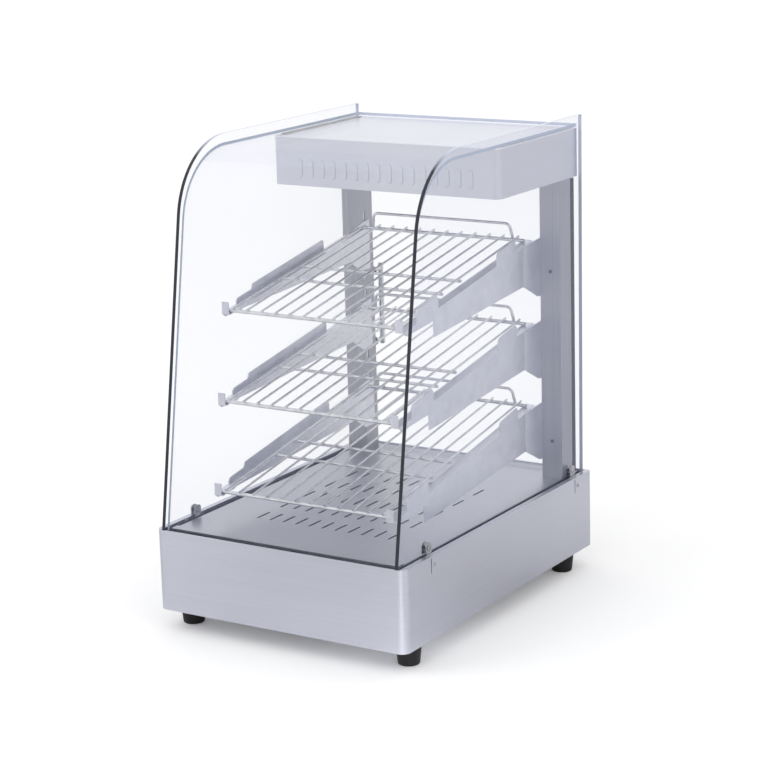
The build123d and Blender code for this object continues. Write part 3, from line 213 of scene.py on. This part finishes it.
# Marks on the rear panel and the paint on the knob's pointer
KNOB_RADIUS = 0.020
POINTER_PAINT = 0.0005
SCALE_STEPS = 10
SCALE_TURN = math.radians(270)
SCALE_NUMBER_EVERY = 2
TICK_GAP = 0.0035
TICK_SIZE = (0.0006, 0.0001, 0.003)
TICK_LIFT = 0.00005
NUMBER_GAP = 0.005
NUMBER_SIZE = 0.0052
TEXT_LIFT = 0.00006
TEXT_THICKNESS = 0.00004
SWITCH_WORD_GAP = 0.004
SWITCH_WORD_SIZE = 0.0042


def new_material(name):
    material = bpy.data.materials.new(name)
    material.use_nodes = True
    tree = material.node_tree
    return material, tree, tree.nodes["Principled BSDF"]


def node(tree, kind, **settings):
    made = tree.nodes.new(kind)
    for key, value in settings.items():
        setattr(made, key, value)
    return made


def link(tree, out_socket, in_socket):
    tree.links.new(out_socket, in_socket)


def rgba(colour):
    """A grey number or a colour as the four numbers of a colour socket."""
    if isinstance(colour, (int, float)):
        return (colour, colour, colour, 1.0)
    return (*colour, 1.0)


def fill(tree, socket, value):
    """Links a socket to its source, or sets its plain number or colour."""
    if isinstance(value, bpy.types.NodeSocket):
        link(tree, value, socket)
    elif socket.type == "RGBA":
        socket.default_value = rgba(value)
    else:
        socket.default_value = value


def math_node(tree, operation, first, second=None):
    made = node(tree, "ShaderNodeMath", operation=operation)
    fill(tree, made.inputs[0], first)
    if second is not None:
        fill(tree, made.inputs[1], second)
    return made.outputs["Value"]


def mix_colour(tree, factor, first, second, blend="MIX"):
    """Blends two colours or greys, each a plain value or a socket."""
    made = node(tree, "ShaderNodeMix", data_type="RGBA", blend_type=blend)
    in_use = [socket for socket in made.inputs if socket.enabled]
    for socket, value in zip(in_use, (factor, first, second)):
        fill(tree, socket, value)
    return [socket for socket in made.outputs if socket.enabled][0]


def ramp(tree, value, low, high, start=0.3, end=0.7):
    """Maps a value between two plain colours or greys."""
    made = node(tree, "ShaderNodeValToRGB")
    first, last = made.color_ramp.elements
    first.position = start
    first.color = rgba(low)
    last.position = end
    last.color = rgba(high)
    link(tree, value, made.inputs["Fac"])
    return made.outputs["Color"]


def object_coordinates(tree, scale=(1, 1, 1)):
    """Object-space coordinates in metres, stretched by a scale on each axis."""
    mapping = node(tree, "ShaderNodeMapping")
    mapping.inputs["Scale"].default_value = scale
    link(tree, node(tree, "ShaderNodeTexCoord").outputs["Object"], mapping.inputs["Vector"])
    return mapping.outputs["Vector"]


def axis_parts(tree, coordinates):
    """The X, Y and Z parts of the Object or Normal coordinates."""
    made = node(tree, "ShaderNodeSeparateXYZ")
    link(tree, node(tree, "ShaderNodeTexCoord").outputs[coordinates], made.inputs["Vector"])
    return made.outputs


def noise(tree, vector, scale, detail=2.0, roughness=0.5):
    made = node(tree, "ShaderNodeTexNoise")
    made.inputs["Scale"].default_value = scale
    made.inputs["Detail"].default_value = detail
    made.inputs["Roughness"].default_value = roughness
    link(tree, vector, made.inputs["Vector"])
    return made.outputs["Fac"]


def relief(tree, shader, height, strength):
    """Fine bumps on a surface, from a noise."""
    made = node(tree, "ShaderNodeBump")
    made.inputs["Strength"].default_value = strength
    made.inputs["Distance"].default_value = RELIEF_DEPTH
    link(tree, height, made.inputs["Height"])
    link(tree, made.outputs["Normal"], shader.inputs["Normal"])


def brushed_metal(name, shades, grain, roughness=0.34, bumps=0.12):
    """Stainless sheet: fine grain along one way, soft cloudiness and small wear on the roughness."""
    material, tree, shader = new_material(name)
    fine = noise(tree, object_coordinates(tree, grain), 1.0, detail=3.0, roughness=0.6)
    cloud = noise(tree, object_coordinates(tree), SHEET_CLOUDS, detail=3.0)
    patch = ramp(tree, cloud, 1.0 - SHEET_SHADE, 1.0)
    colour = mix_colour(tree, 1.0, ramp(tree, fine, *shades), patch, "MULTIPLY")
    link(tree, colour, shader.inputs["Base Color"])
    shader.inputs["Metallic"].default_value = 1.0
    grain_part = math_node(tree, "MULTIPLY", fine, GRAIN_SHARE)
    cloud_part = math_node(tree, "MULTIPLY", cloud, 1.0 - GRAIN_SHARE)
    wear = node(tree, "ShaderNodeMapRange")
    wear.inputs["To Min"].default_value = roughness - SHEET_FALL
    wear.inputs["To Max"].default_value = roughness + SHEET_RISE
    link(tree, math_node(tree, "ADD", grain_part, cloud_part), wear.inputs["Value"])
    link(tree, wear.outputs["Result"], shader.inputs["Roughness"])
    relief(tree, shader, fine, bumps)
    return material


def chrome_wire(name, shades, roughness):
    """Plated wire: bright, with slight dulling along its length."""
    material, tree, shader = new_material(name)
    dull = noise(tree, object_coordinates(tree), WIRE_CLOUDS)
    link(tree, ramp(tree, dull, *shades), shader.inputs["Base Color"])
    shader.inputs["Metallic"].default_value = 1.0
    link(tree, ramp(tree, dull, roughness - WIRE_FALL, roughness + WIRE_RISE), shader.inputs["Roughness"])
    return material


def cut_edges(tree, normal, edge_tests):
    """1 on a sheet's cut edges, told by their normals, and 0 on its faces."""
    edge = None
    for axis, operation, limit in edge_tests:
        test = math_node(tree, operation, math_node(tree, "ABSOLUTE", normal[axis]), limit)
        edge = test if edge is None else math_node(tree, "MAXIMUM", edge, test)
    return edge


def pale_edges(tree, normal, piece):
    """Painted light on cut edges: 1 where a cut edge faces up or ends the piece at the rear, and 0
    elsewhere.
    """
    rear = max(corner.co.y for corner in nodes[piece].data.vertices)
    rearward = math_node(tree, "GREATER_THAN", axis_parts(tree, "Object")["Y"], rear - REAR_EDGE)
    fade = node(tree, "ShaderNodeMapRange")
    fade.inputs["From Min"].default_value = UPWARD_START
    link(tree, math_node(tree, "MAXIMUM", normal["Z"], rearward), fade.inputs["Value"])
    return fade.outputs["Result"]


def clear_face(tree, face_alpha):
    """How much of a clear face shows: a film of smears, and more of it at a slant."""
    smears = noise(tree, object_coordinates(tree), GLASS_CLOUDS, detail=3.0)
    uneven = math_node(tree, "ADD", FILM_LEAST, math_node(tree, "MULTIPLY", smears, FILM_SPREAD))
    film = math_node(tree, "MULTIPLY", uneven, face_alpha)
    facing = node(tree, "ShaderNodeLayerWeight")
    facing.inputs["Blend"].default_value = SLANT_BLEND
    slant = math_node(tree, "MULTIPLY", facing.outputs["Fresnel"], SLANT_SHARE)
    return math_node(tree, "ADD", slant, film)


def glass_sheet(name, piece, tint, painted_shade_edge, painted_light_edge, edge_tests, face_alpha=0.05):
    """Clear sheet: a faint tint, and cut edges painted pale on top and behind as painted light, and darker
    elsewhere as painted shade.
    """
    material, tree, shader = new_material(name)
    normal = axis_parts(tree, "Normal")
    edge = cut_edges(tree, normal, edge_tests)
    # The cut edges' colour is painted light and painted shade, chosen by the way each edge faces
    edge_colour = mix_colour(tree, pale_edges(tree, normal, piece), painted_shade_edge, painted_light_edge)
    link(tree, mix_colour(tree, edge, tint, edge_colour), shader.inputs["Base Color"])
    link(tree, math_node(tree, "MAXIMUM", edge, clear_face(tree, face_alpha)), shader.inputs["Alpha"])
    ground = math_node(tree, "MULTIPLY", edge, EDGE_ROUGHNESS)
    link(tree, math_node(tree, "ADD", GLASS_ROUGHNESS, ground), shader.inputs["Roughness"])
    return material


def moulded(name, shades, roughness, pebbles, bumps, specular=0.5):
    """Moulded rubber or plastic: fine pebbled surface with slight fading."""
    material, tree, shader = new_material(name)
    pebble = noise(tree, object_coordinates(tree), pebbles)
    fade = noise(tree, object_coordinates(tree), MOULDED_CLOUDS)
    wear = ramp(tree, fade, roughness - MOULDED_FALL, roughness + MOULDED_RISE)
    link(tree, ramp(tree, fade, *shades), shader.inputs["Base Color"])
    link(tree, wear, shader.inputs["Roughness"])
    shader.inputs["Specular IOR Level"].default_value = specular
    relief(tree, shader, pebble, bumps)
    return material


def black_plastic(name):
    return moulded(name, BLACK_PLASTIC, roughness=0.42, pebbles=1400.0, bumps=0.18)


def pointer_knob(name):
    """Black knob whose raised pointer is painted white on its face."""
    material = black_plastic(name)
    tree = material.node_tree
    colour = tree.nodes["Principled BSDF"].inputs["Base Color"]
    black = colour.links[0].from_socket
    face = max(corner.co.y for corner in nodes["thermostat_knob"].data.vertices)
    painted = math_node(tree, "GREATER_THAN", axis_parts(tree, "Object")["Y"], face - POINTER_PAINT)
    link(tree, mix_colour(tree, painted, black, POINTER_WHITE), colour)
    return material


def frosted(name, colour, glow):
    """Frosted plastic window or ceramic, softly lit through."""
    material, tree, shader = new_material(name)
    cloud = noise(tree, object_coordinates(tree), FROST_CLOUDS)
    shaded = tuple(part * FROST_SHADE for part in colour)
    link(tree, ramp(tree, cloud, shaded, colour), shader.inputs["Base Color"])
    link(tree, ramp(tree, cloud, *FROST_ROUGHNESS), shader.inputs["Roughness"])
    shader.inputs["Subsurface Weight"].default_value = glow
    shader.inputs["Subsurface Radius"].default_value = (FROST_REACH, FROST_REACH, FROST_REACH)
    return material


def bulb_glass(name):
    """Thin milky glass of the lamp."""
    material, tree, shader = new_material(name)
    cloud = noise(tree, object_coordinates(tree), BULB_CLOUDS)
    link(tree, ramp(tree, cloud, *BULB_WHITE), shader.inputs["Base Color"])
    link(tree, ramp(tree, cloud, *BULB_ROUGHNESS), shader.inputs["Roughness"])
    shader.inputs["Alpha"].default_value = BULB_ALPHA
    return material


SIDE_EDGES = (("X", "LESS_THAN", EDGE_LIMIT),)
FRONT_EDGES = (("X", "GREATER_THAN", EDGE_LIMIT), ("Y", "GREATER_THAN", ROOF_END_LIMIT))
DOOR_EDGES = (("Y", "LESS_THAN", EDGE_LIMIT),)

MATERIALS = {
    "base": brushed_metal("brushed_steel_across", BASE_STEEL, GRAIN_LEVEL, roughness=0.32, bumps=0.05),
    "upright": brushed_metal("brushed_steel_upright", POST_STEEL_PAINTED_SHADE, GRAIN_UPRIGHT),
    "deck": brushed_metal("brushed_steel_deck", DECK_STEEL, GRAIN_DECK, roughness=0.36, bumps=0.06),
    "header": brushed_metal("brushed_steel_header", HEADER_STEEL, GRAIN_LEVEL, roughness=0.3, bumps=0.05),
    "lid": brushed_metal("brushed_steel_lid", LID_STEEL_PAINTED_LIGHT, GRAIN_LID, roughness=0.35, bumps=0.05),
    "bracket": brushed_metal("rolled_steel_bracket", BRACKET_STEEL, GRAIN_BRACKET, roughness=0.36),
    "plain": brushed_metal("rolled_steel_plain", ROLLED_STEEL, GRAIN_PLAIN, roughness=0.42),
    "chrome": chrome_wire("chrome_wire", CHROME, roughness=0.2),
    "screw": chrome_wire("screw_steel", SCREW_STEEL, roughness=0.25),
    "heater": chrome_wire("heater_tube", HEATER_STEEL, roughness=0.4),
    "side_glass": glass_sheet("side_glass", "side_glass_right", GLASS_TINT, SIDE_EDGE_PAINTED_SHADE, GLASS_EDGE_PAINTED_LIGHT,
                              SIDE_EDGES),
    "front_glass": glass_sheet("front_glass", "front_glass", GLASS_TINT, FRONT_EDGE_PAINTED_SHADE, GLASS_EDGE_PAINTED_LIGHT,
                               FRONT_EDGES),
    "door_glass": glass_sheet("door_glass", "door_glass", DOOR_TINT, DOOR_EDGE_PAINTED_SHADE, DOOR_EDGE_PAINTED_LIGHT,
                              DOOR_EDGES, face_alpha=0.03),
    "rubber": moulded("black_rubber", BLACK_RUBBER, roughness=0.62, pebbles=900.0, bumps=0.25, specular=0.3),
    "plastic": black_plastic("black_plastic"),
    "knob": pointer_knob("pointer_knob"),
    "stile": moulded("black_stile", BLACK_PAINT, roughness=0.35, pebbles=1200.0, bumps=0.1, specular=0.3),
    "grey": moulded("grey_plastic", GREY_PLASTIC, roughness=0.5, pebbles=1200.0, bumps=0.15),
    "red": moulded("red_plastic", RED_PLASTIC, roughness=0.2, pebbles=800.0, bumps=0.03),
    "frosted": frosted("frosted_cover", FROSTED_WHITE, glow=0.3),
    "porcelain": frosted("porcelain", PORCELAIN_WHITE, glow=0.05),
    "bulb": bulb_glass("bulb_glass"),
}

NODE_MATERIALS = {
    "base": ["base_shell", "base_rear_panel"],
    "upright": ["post_left", "post_right"],
    "deck": ["deck_plate"],
    "header": ["header_shell"],
    "lid": ["header_top_cover"],
    "bracket": ["bracket_left_top", "bracket_left_middle", "bracket_left_bottom", "bracket_right_top",
                "bracket_right_middle", "bracket_right_bottom"],
    "plain": ["base_bottom_plate", "deck_rail_left", "deck_rail_right", "deck_rail_front", "heat_reflector",
              "heater_brackets", "header_bottom_panel"],
    "chrome": [*RACKS, "door_handle"],
    "screw": ["panel_screws", "foot_screws", "post_screws", "clip_screws", "glass_clips"],
    "heater": ["heating_element", "thermostat_bulb"],
    "side_glass": ["side_glass_left", "side_glass_right"],
    "front_glass": ["front_glass"],
    "door_glass": ["door_glass"],
    "rubber": ["foot_front_left", "foot_front_right", "foot_rear_left", "foot_rear_right",
               "side_channel_left", "side_channel_right", "front_channel"],
    "plastic": ["power_switch_body", "cable_gland", "door_catch"],
    "knob": ["thermostat_knob"],
    "stile": ["door_stile"],
    "grey": ["thermostat_body", "terminal_block", "roof_seal"],
    "red": ["power_rocker", "indicator_lamp"],
    "frosted": ["lamp_cover"],
    "porcelain": ["lamp_socket"],
    "bulb": ["lamp"],
}


def dress_nodes():
    """Every carried-over node gets its material."""
    for key, names in NODE_MATERIALS.items():
        for name in names:
            mesh = nodes[name].data
            mesh.materials.clear()
            mesh.materials.append(MATERIALS[key])


def add_object(name, data):
    made = bpy.data.objects.new(name, data)
    bpy.context.scene.collection.objects.link(made)
    return made


def mesh_object(name, bm, material, smooth=True):
    mesh = bpy.data.meshes.new(name)
    bm.to_mesh(mesh)
    bm.free()
    for polygon in mesh.polygons:
        polygon.use_smooth = smooth
    mesh.materials.append(material)
    return add_object(name, mesh)


def rear_rail_distance(rack):
    """Distance from the front rail to the rear rail, along the rack."""
    front_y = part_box(rack)[0].y + RACK_REACH
    rear_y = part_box("post_left")[0].y - RACK_BEFORE_POST
    return (rear_y - front_y) / math.cos(RACK_SLOPE)


def weld_beads(rack, body):
    """Small weld beads where each wire crosses the rails and the cross bars."""
    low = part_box(rack)[0]
    front_rail = Vector((0, low.y + RACK_REACH, low.z + RAIL_RADIUS))
    along_rack = Vector((0, math.cos(RACK_SLOPE), math.sin(RACK_SLOPE)))
    out_of_rack = Vector((0, -math.sin(RACK_SLOPE), math.cos(RACK_SLOPE)))
    shape = Matrix.Rotation(RACK_SLOPE, 4, "X") @ Matrix.Diagonal((*BEAD_SHAPE, 1.0))
    half = (WIRE_COUNT - 1) / 2
    bm = bmesh.new()
    for distance in (0.0, *CROSS_BARS, rear_rail_distance(rack)):
        row = front_rail + along_rack * distance + out_of_rack * (RAIL_RADIUS + BEAD_LIFT)
        for i in range(WIRE_COUNT):
            place = Matrix.Translation(row + Vector(((i - half) * WIRE_PITCH, 0, 0)))
            bmesh.ops.create_icosphere(bm, subdivisions=2, radius=BEAD_RADIUS, matrix=place @ shape)
    beads = mesh_object("weld_beads_" + rack.split("_")[1], bm, MATERIALS["chrome"])
    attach(beads, body)


def lathe(bm, outline, place):
    """A turned shape: (radius, height) points spun about its own Z axis."""
    rings = []
    for radius, height in outline:
        ring = []
        for i in range(TURNED_STEPS):
            angle = 2 * math.pi * i / TURNED_STEPS
            point = Vector((radius * math.cos(angle), radius * math.sin(angle), height))
            ring.append(bm.verts.new(place @ point))
        rings.append(ring)
    for lower, upper in zip(rings, rings[1:]):
        for i in range(TURNED_STEPS):
            j = (i + 1) % TURNED_STEPS
            bm.faces.new((lower[i], lower[j], upper[j], upper[i]))
    bm.faces.new(list(reversed(rings[0])))
    bm.faces.new(rings[-1])


def post_caps():
    """Small domed caps that close the holes in the posts' front faces."""
    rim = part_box("base_shell")[1].z
    outline = [
        (CAP_RADIUS * CAP_STEM_SHARE, -CAP_STEM_LENGTH),
        (CAP_RADIUS * CAP_STEM_SHARE, 0.0),
        (CAP_RADIUS, 0.0),
        (CAP_RADIUS * CAP_SHOULDER_SHARE, CAP_HEIGHT * CAP_SHOULDER_HEIGHT_SHARE),
        (CAP_RADIUS * CAP_CROWN_SHARE, CAP_HEIGHT),
    ]
    facing_front = Matrix.Rotation(math.pi / 2, 4, "X")
    bm = bmesh.new()
    for post in ("post_left", "post_right"):
        low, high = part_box(post)
        for rise in CAP_RISES:
            place = Matrix.Translation(((low.x + high.x) / 2, low.y + CAP_SINK, rim + rise))
            lathe(bm, outline, place @ facing_front)
    caps = mesh_object("post_caps", bm, MATERIALS["plastic"])
    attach(caps, "case")


def lamp_filament():
    """Coiled filament along the middle of the tubular bulb."""
    low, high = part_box("lamp")
    middle = (low + high) / 2
    start = low.x + FILAMENT_LEFT_GAP
    length = high.x - FILAMENT_RIGHT_GAP - start
    curve = bpy.data.curves.new("lamp_filament", "CURVE")
    curve.dimensions = "3D"
    curve.bevel_depth = FILAMENT_WIRE_RADIUS
    curve.bevel_resolution = FILAMENT_BEVEL
    spline = curve.splines.new("POLY")
    steps = FILAMENT_TURNS * FILAMENT_STEPS
    spline.points.add(steps)
    for i, point in enumerate(spline.points):
        angle = 2 * math.pi * i / FILAMENT_STEPS
        y = middle.y + FILAMENT_COIL_RADIUS * math.cos(angle)
        z = middle.z + FILAMENT_COIL_RADIUS * math.sin(angle)
        point.co = (start + length * i / steps, y, z, 1.0)
    curve.materials.append(MATERIALS["screw"])
    made = add_object("lamp_filament", curve)
    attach(made, "case")


def panel_text(name, text, x, z, size):
    """A small printed mark on the rear panel."""
    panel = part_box("base_rear_panel")[1].y
    curve = bpy.data.curves.new(name, "FONT")
    curve.body = text
    curve.size = size
    curve.align_x = "CENTER"
    curve.align_y = "CENTER"
    curve.extrude = TEXT_THICKNESS
    curve.materials.append(MATERIALS["plastic"])
    made = add_object(name, curve)
    upright = Matrix.Rotation(math.pi / 2, 4, "X")
    facing_rear = Matrix.Rotation(math.pi, 4, "Z")
    made.matrix_world = Matrix.Translation((x, panel + TEXT_LIFT, z)) @ facing_rear @ upright
    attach(made, "case")


def knob_scale():
    """Ticks and plain numbers round the thermostat knob."""
    low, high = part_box("thermostat_knob")
    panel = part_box("base_rear_panel")[1].y
    middle = Vector(((low.x + high.x) / 2, panel + TICK_LIFT, low.z + KNOB_RADIUS))
    bm = bmesh.new()
    for i in range(SCALE_STEPS + 1):
        turn = math.pi / 2 - SCALE_TURN * i / SCALE_STEPS
        outward = Vector((-math.cos(turn), 0, math.sin(turn)))
        centre = middle + outward * (KNOB_RADIUS + TICK_GAP)
        place = Matrix.Translation(centre) @ Matrix.Rotation(turn - math.pi / 2, 4, "Y")
        bmesh.ops.create_cube(bm, size=1.0, matrix=place @ Matrix.Diagonal((*TICK_SIZE, 1.0)))
        if i % SCALE_NUMBER_EVERY == 0:
            spot = centre + outward * NUMBER_GAP
            panel_text(f"scale_number_{i}", str(i), spot.x, spot.z, NUMBER_SIZE)
    ticks = mesh_object("scale_ticks", bm, MATERIALS["plastic"], smooth=False)
    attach(ticks, "case")


def switch_words():
    """OFF above the rocker, where it is pressed at rest, and ON below it."""
    low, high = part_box("power_switch_body")
    middle_x = (low.x + high.x) / 2
    panel_text("switch_off", "OFF", middle_x, high.z + SWITCH_WORD_GAP, SWITCH_WORD_SIZE)
    panel_text("switch_on", "ON", middle_x, low.z - SWITCH_WORD_GAP, SWITCH_WORD_SIZE)


def area_light(name, place, side, power):
    """A square lamp aimed at the middle of the object, which no mirror ray sees."""
    data = bpy.data.lights.new(name, "AREA")
    data.size = side
    data.energy = power
    made = add_object(name, data)
    made.location = place
    aim = Vector(LAMP_TARGET) - Vector(place)
    made.rotation_euler = aim.to_track_quat("-Z", "Y").to_euler()
    made.visible_glossy = False


def ray_kinds(tree):
    """Two sockets: 1 for rays of the camera and through glass, and 1 for mirror rays."""
    path = node(tree, "ShaderNodeLightPath")
    seen = math_node(tree, "MAXIMUM", path.outputs["Is Camera Ray"], path.outputs["Is Transmission Ray"])
    return seen, path.outputs["Is Glossy Ray"]


def mirrored_floor(tree):
    """The floor's grey clouds and its glowing strip, as metal sees them: a painted reflection, whose strip
    paints the highlight on the base's corner.
    """
    place = node(tree, "ShaderNodeTexCoord").outputs["Object"]
    clouds = noise(tree, place, MIRROR_CLOUDS, detail=1.0, roughness=0.4)
    clouded = ramp(tree, clouds, MIRROR_DARK, MIRROR_LIGHT, MIRROR_START, MIRROR_END)
    mapping = node(tree, "ShaderNodeMapping", vector_type="TEXTURE")
    mapping.inputs["Location"].default_value = (*STRIP_START, 0)
    mapping.inputs["Rotation"].default_value = (0, 0, STRIP_TURN)
    link(tree, place, mapping.inputs["Vector"])
    across = node(tree, "ShaderNodeSeparateXYZ")
    link(tree, mapping.outputs["Vector"], across.inputs["Vector"])
    strip = node(tree, "ShaderNodeMapRange", interpolation_type="SMOOTHSTEP")
    strip.inputs["From Min"].default_value = STRIP_HALF
    strip.inputs["From Max"].default_value = 0.0
    link(tree, math_node(tree, "ABSOLUTE", across.outputs["Y"]), strip.inputs["Value"])
    return clouded, strip.outputs["Result"]


def stage():
    """White floor to the eye, a middle grey to the light it gives back, and to metal a painted reflection of
    grey clouds and a glowing strip.
    """
    material, tree, shader = new_material("pale_floor")
    seen, glossy = ray_kinds(tree)
    clouded, strip = mirrored_floor(tree)
    mirrored = mix_colour(tree, strip, clouded, WHITE)
    plain = mix_colour(tree, seen, FLOOR_REAL, FLOOR_SEEN)
    link(tree, mix_colour(tree, glossy, plain, mirrored), shader.inputs["Base Color"])
    shader.inputs["Roughness"].default_value = FLOOR_ROUGHNESS
    shader.inputs["Specular IOR Level"].default_value = FLOOR_SPECULAR
    shader.inputs["Emission Color"].default_value = rgba(WHITE)
    floor_glow = math_node(tree, "MULTIPLY", seen, FLOOR_LIFT)
    # The strip glows only to mirror rays: a painted highlight on the base's corner, though the floor is no
    # lamp
    strip_glow = math_node(tree, "MULTIPLY", math_node(tree, "MULTIPLY", strip, glossy), STRIP_LIFT)
    link(tree, math_node(tree, "ADD", floor_glow, strip_glow), shader.inputs["Emission Strength"])
    bm = bmesh.new()
    bmesh.ops.create_grid(bm, x_segments=1, y_segments=1, size=FLOOR_HALF)
    floor = mesh_object("pale_floor", bm, material, smooth=False)


def world():
    """White to every ray that is seen, and a little less to the light on surfaces."""
    made = bpy.data.worlds.new("studio_world")
    bpy.context.scene.world = made
    made.use_nodes = True
    tree = made.node_tree
    background = tree.nodes["Background"]
    background.inputs["Color"].default_value = rgba(WHITE)
    white_rays = math_node(tree, "MAXIMUM", *ray_kinds(tree))
    added = math_node(tree, "MULTIPLY", white_rays, WHITE - WORLD_DIFFUSE)
    link(tree, math_node(tree, "ADD", WORLD_DIFFUSE, added), background.inputs["Strength"])


def camera():
    """The camera stands where the photograph was taken from."""
    azimuth = math.radians(CAMERA_AZIMUTH)
    elevation = math.radians(CAMERA_ELEVATION)
    roll = math.radians(CAMERA_ROLL)
    level_back = Vector((math.sin(azimuth), -math.cos(azimuth), 0))
    back = level_back * math.cos(elevation) + Vector((0, 0, math.sin(elevation)))
    right = Vector((math.cos(azimuth), math.sin(azimuth), 0))
    up = back.cross(right)
    x_axis = right * math.cos(roll) + up * math.sin(roll)
    y_axis = up * math.cos(roll) - right * math.sin(roll)
    turn = Matrix((x_axis, y_axis, back)).transposed().to_4x4()
    data = bpy.data.cameras.new("camera")
    data.lens = CAMERA_LENS
    data.sensor_width = CAMERA_SENSOR
    data.clip_end = CAMERA_REACH
    made = add_object("camera", data)
    made.matrix_world = Matrix.Translation(CAMERA_PLACE) @ turn
    bpy.context.scene.camera = made


dress_nodes()
for rack_name, rack_body in RACKS.items():
    weld_beads(rack_name, rack_body)
post_caps()
lamp_filament()
knob_scale()
switch_words()
stage()
world()
camera()
area_light("key_light", KEY_PLACE, KEY_SIDE, KEY_POWER)
area_light("fill_light", FILL_PLACE, FILL_SIDE, FILL_POWER)

bpy.context.scene.view_settings.view_transform = "Standard"
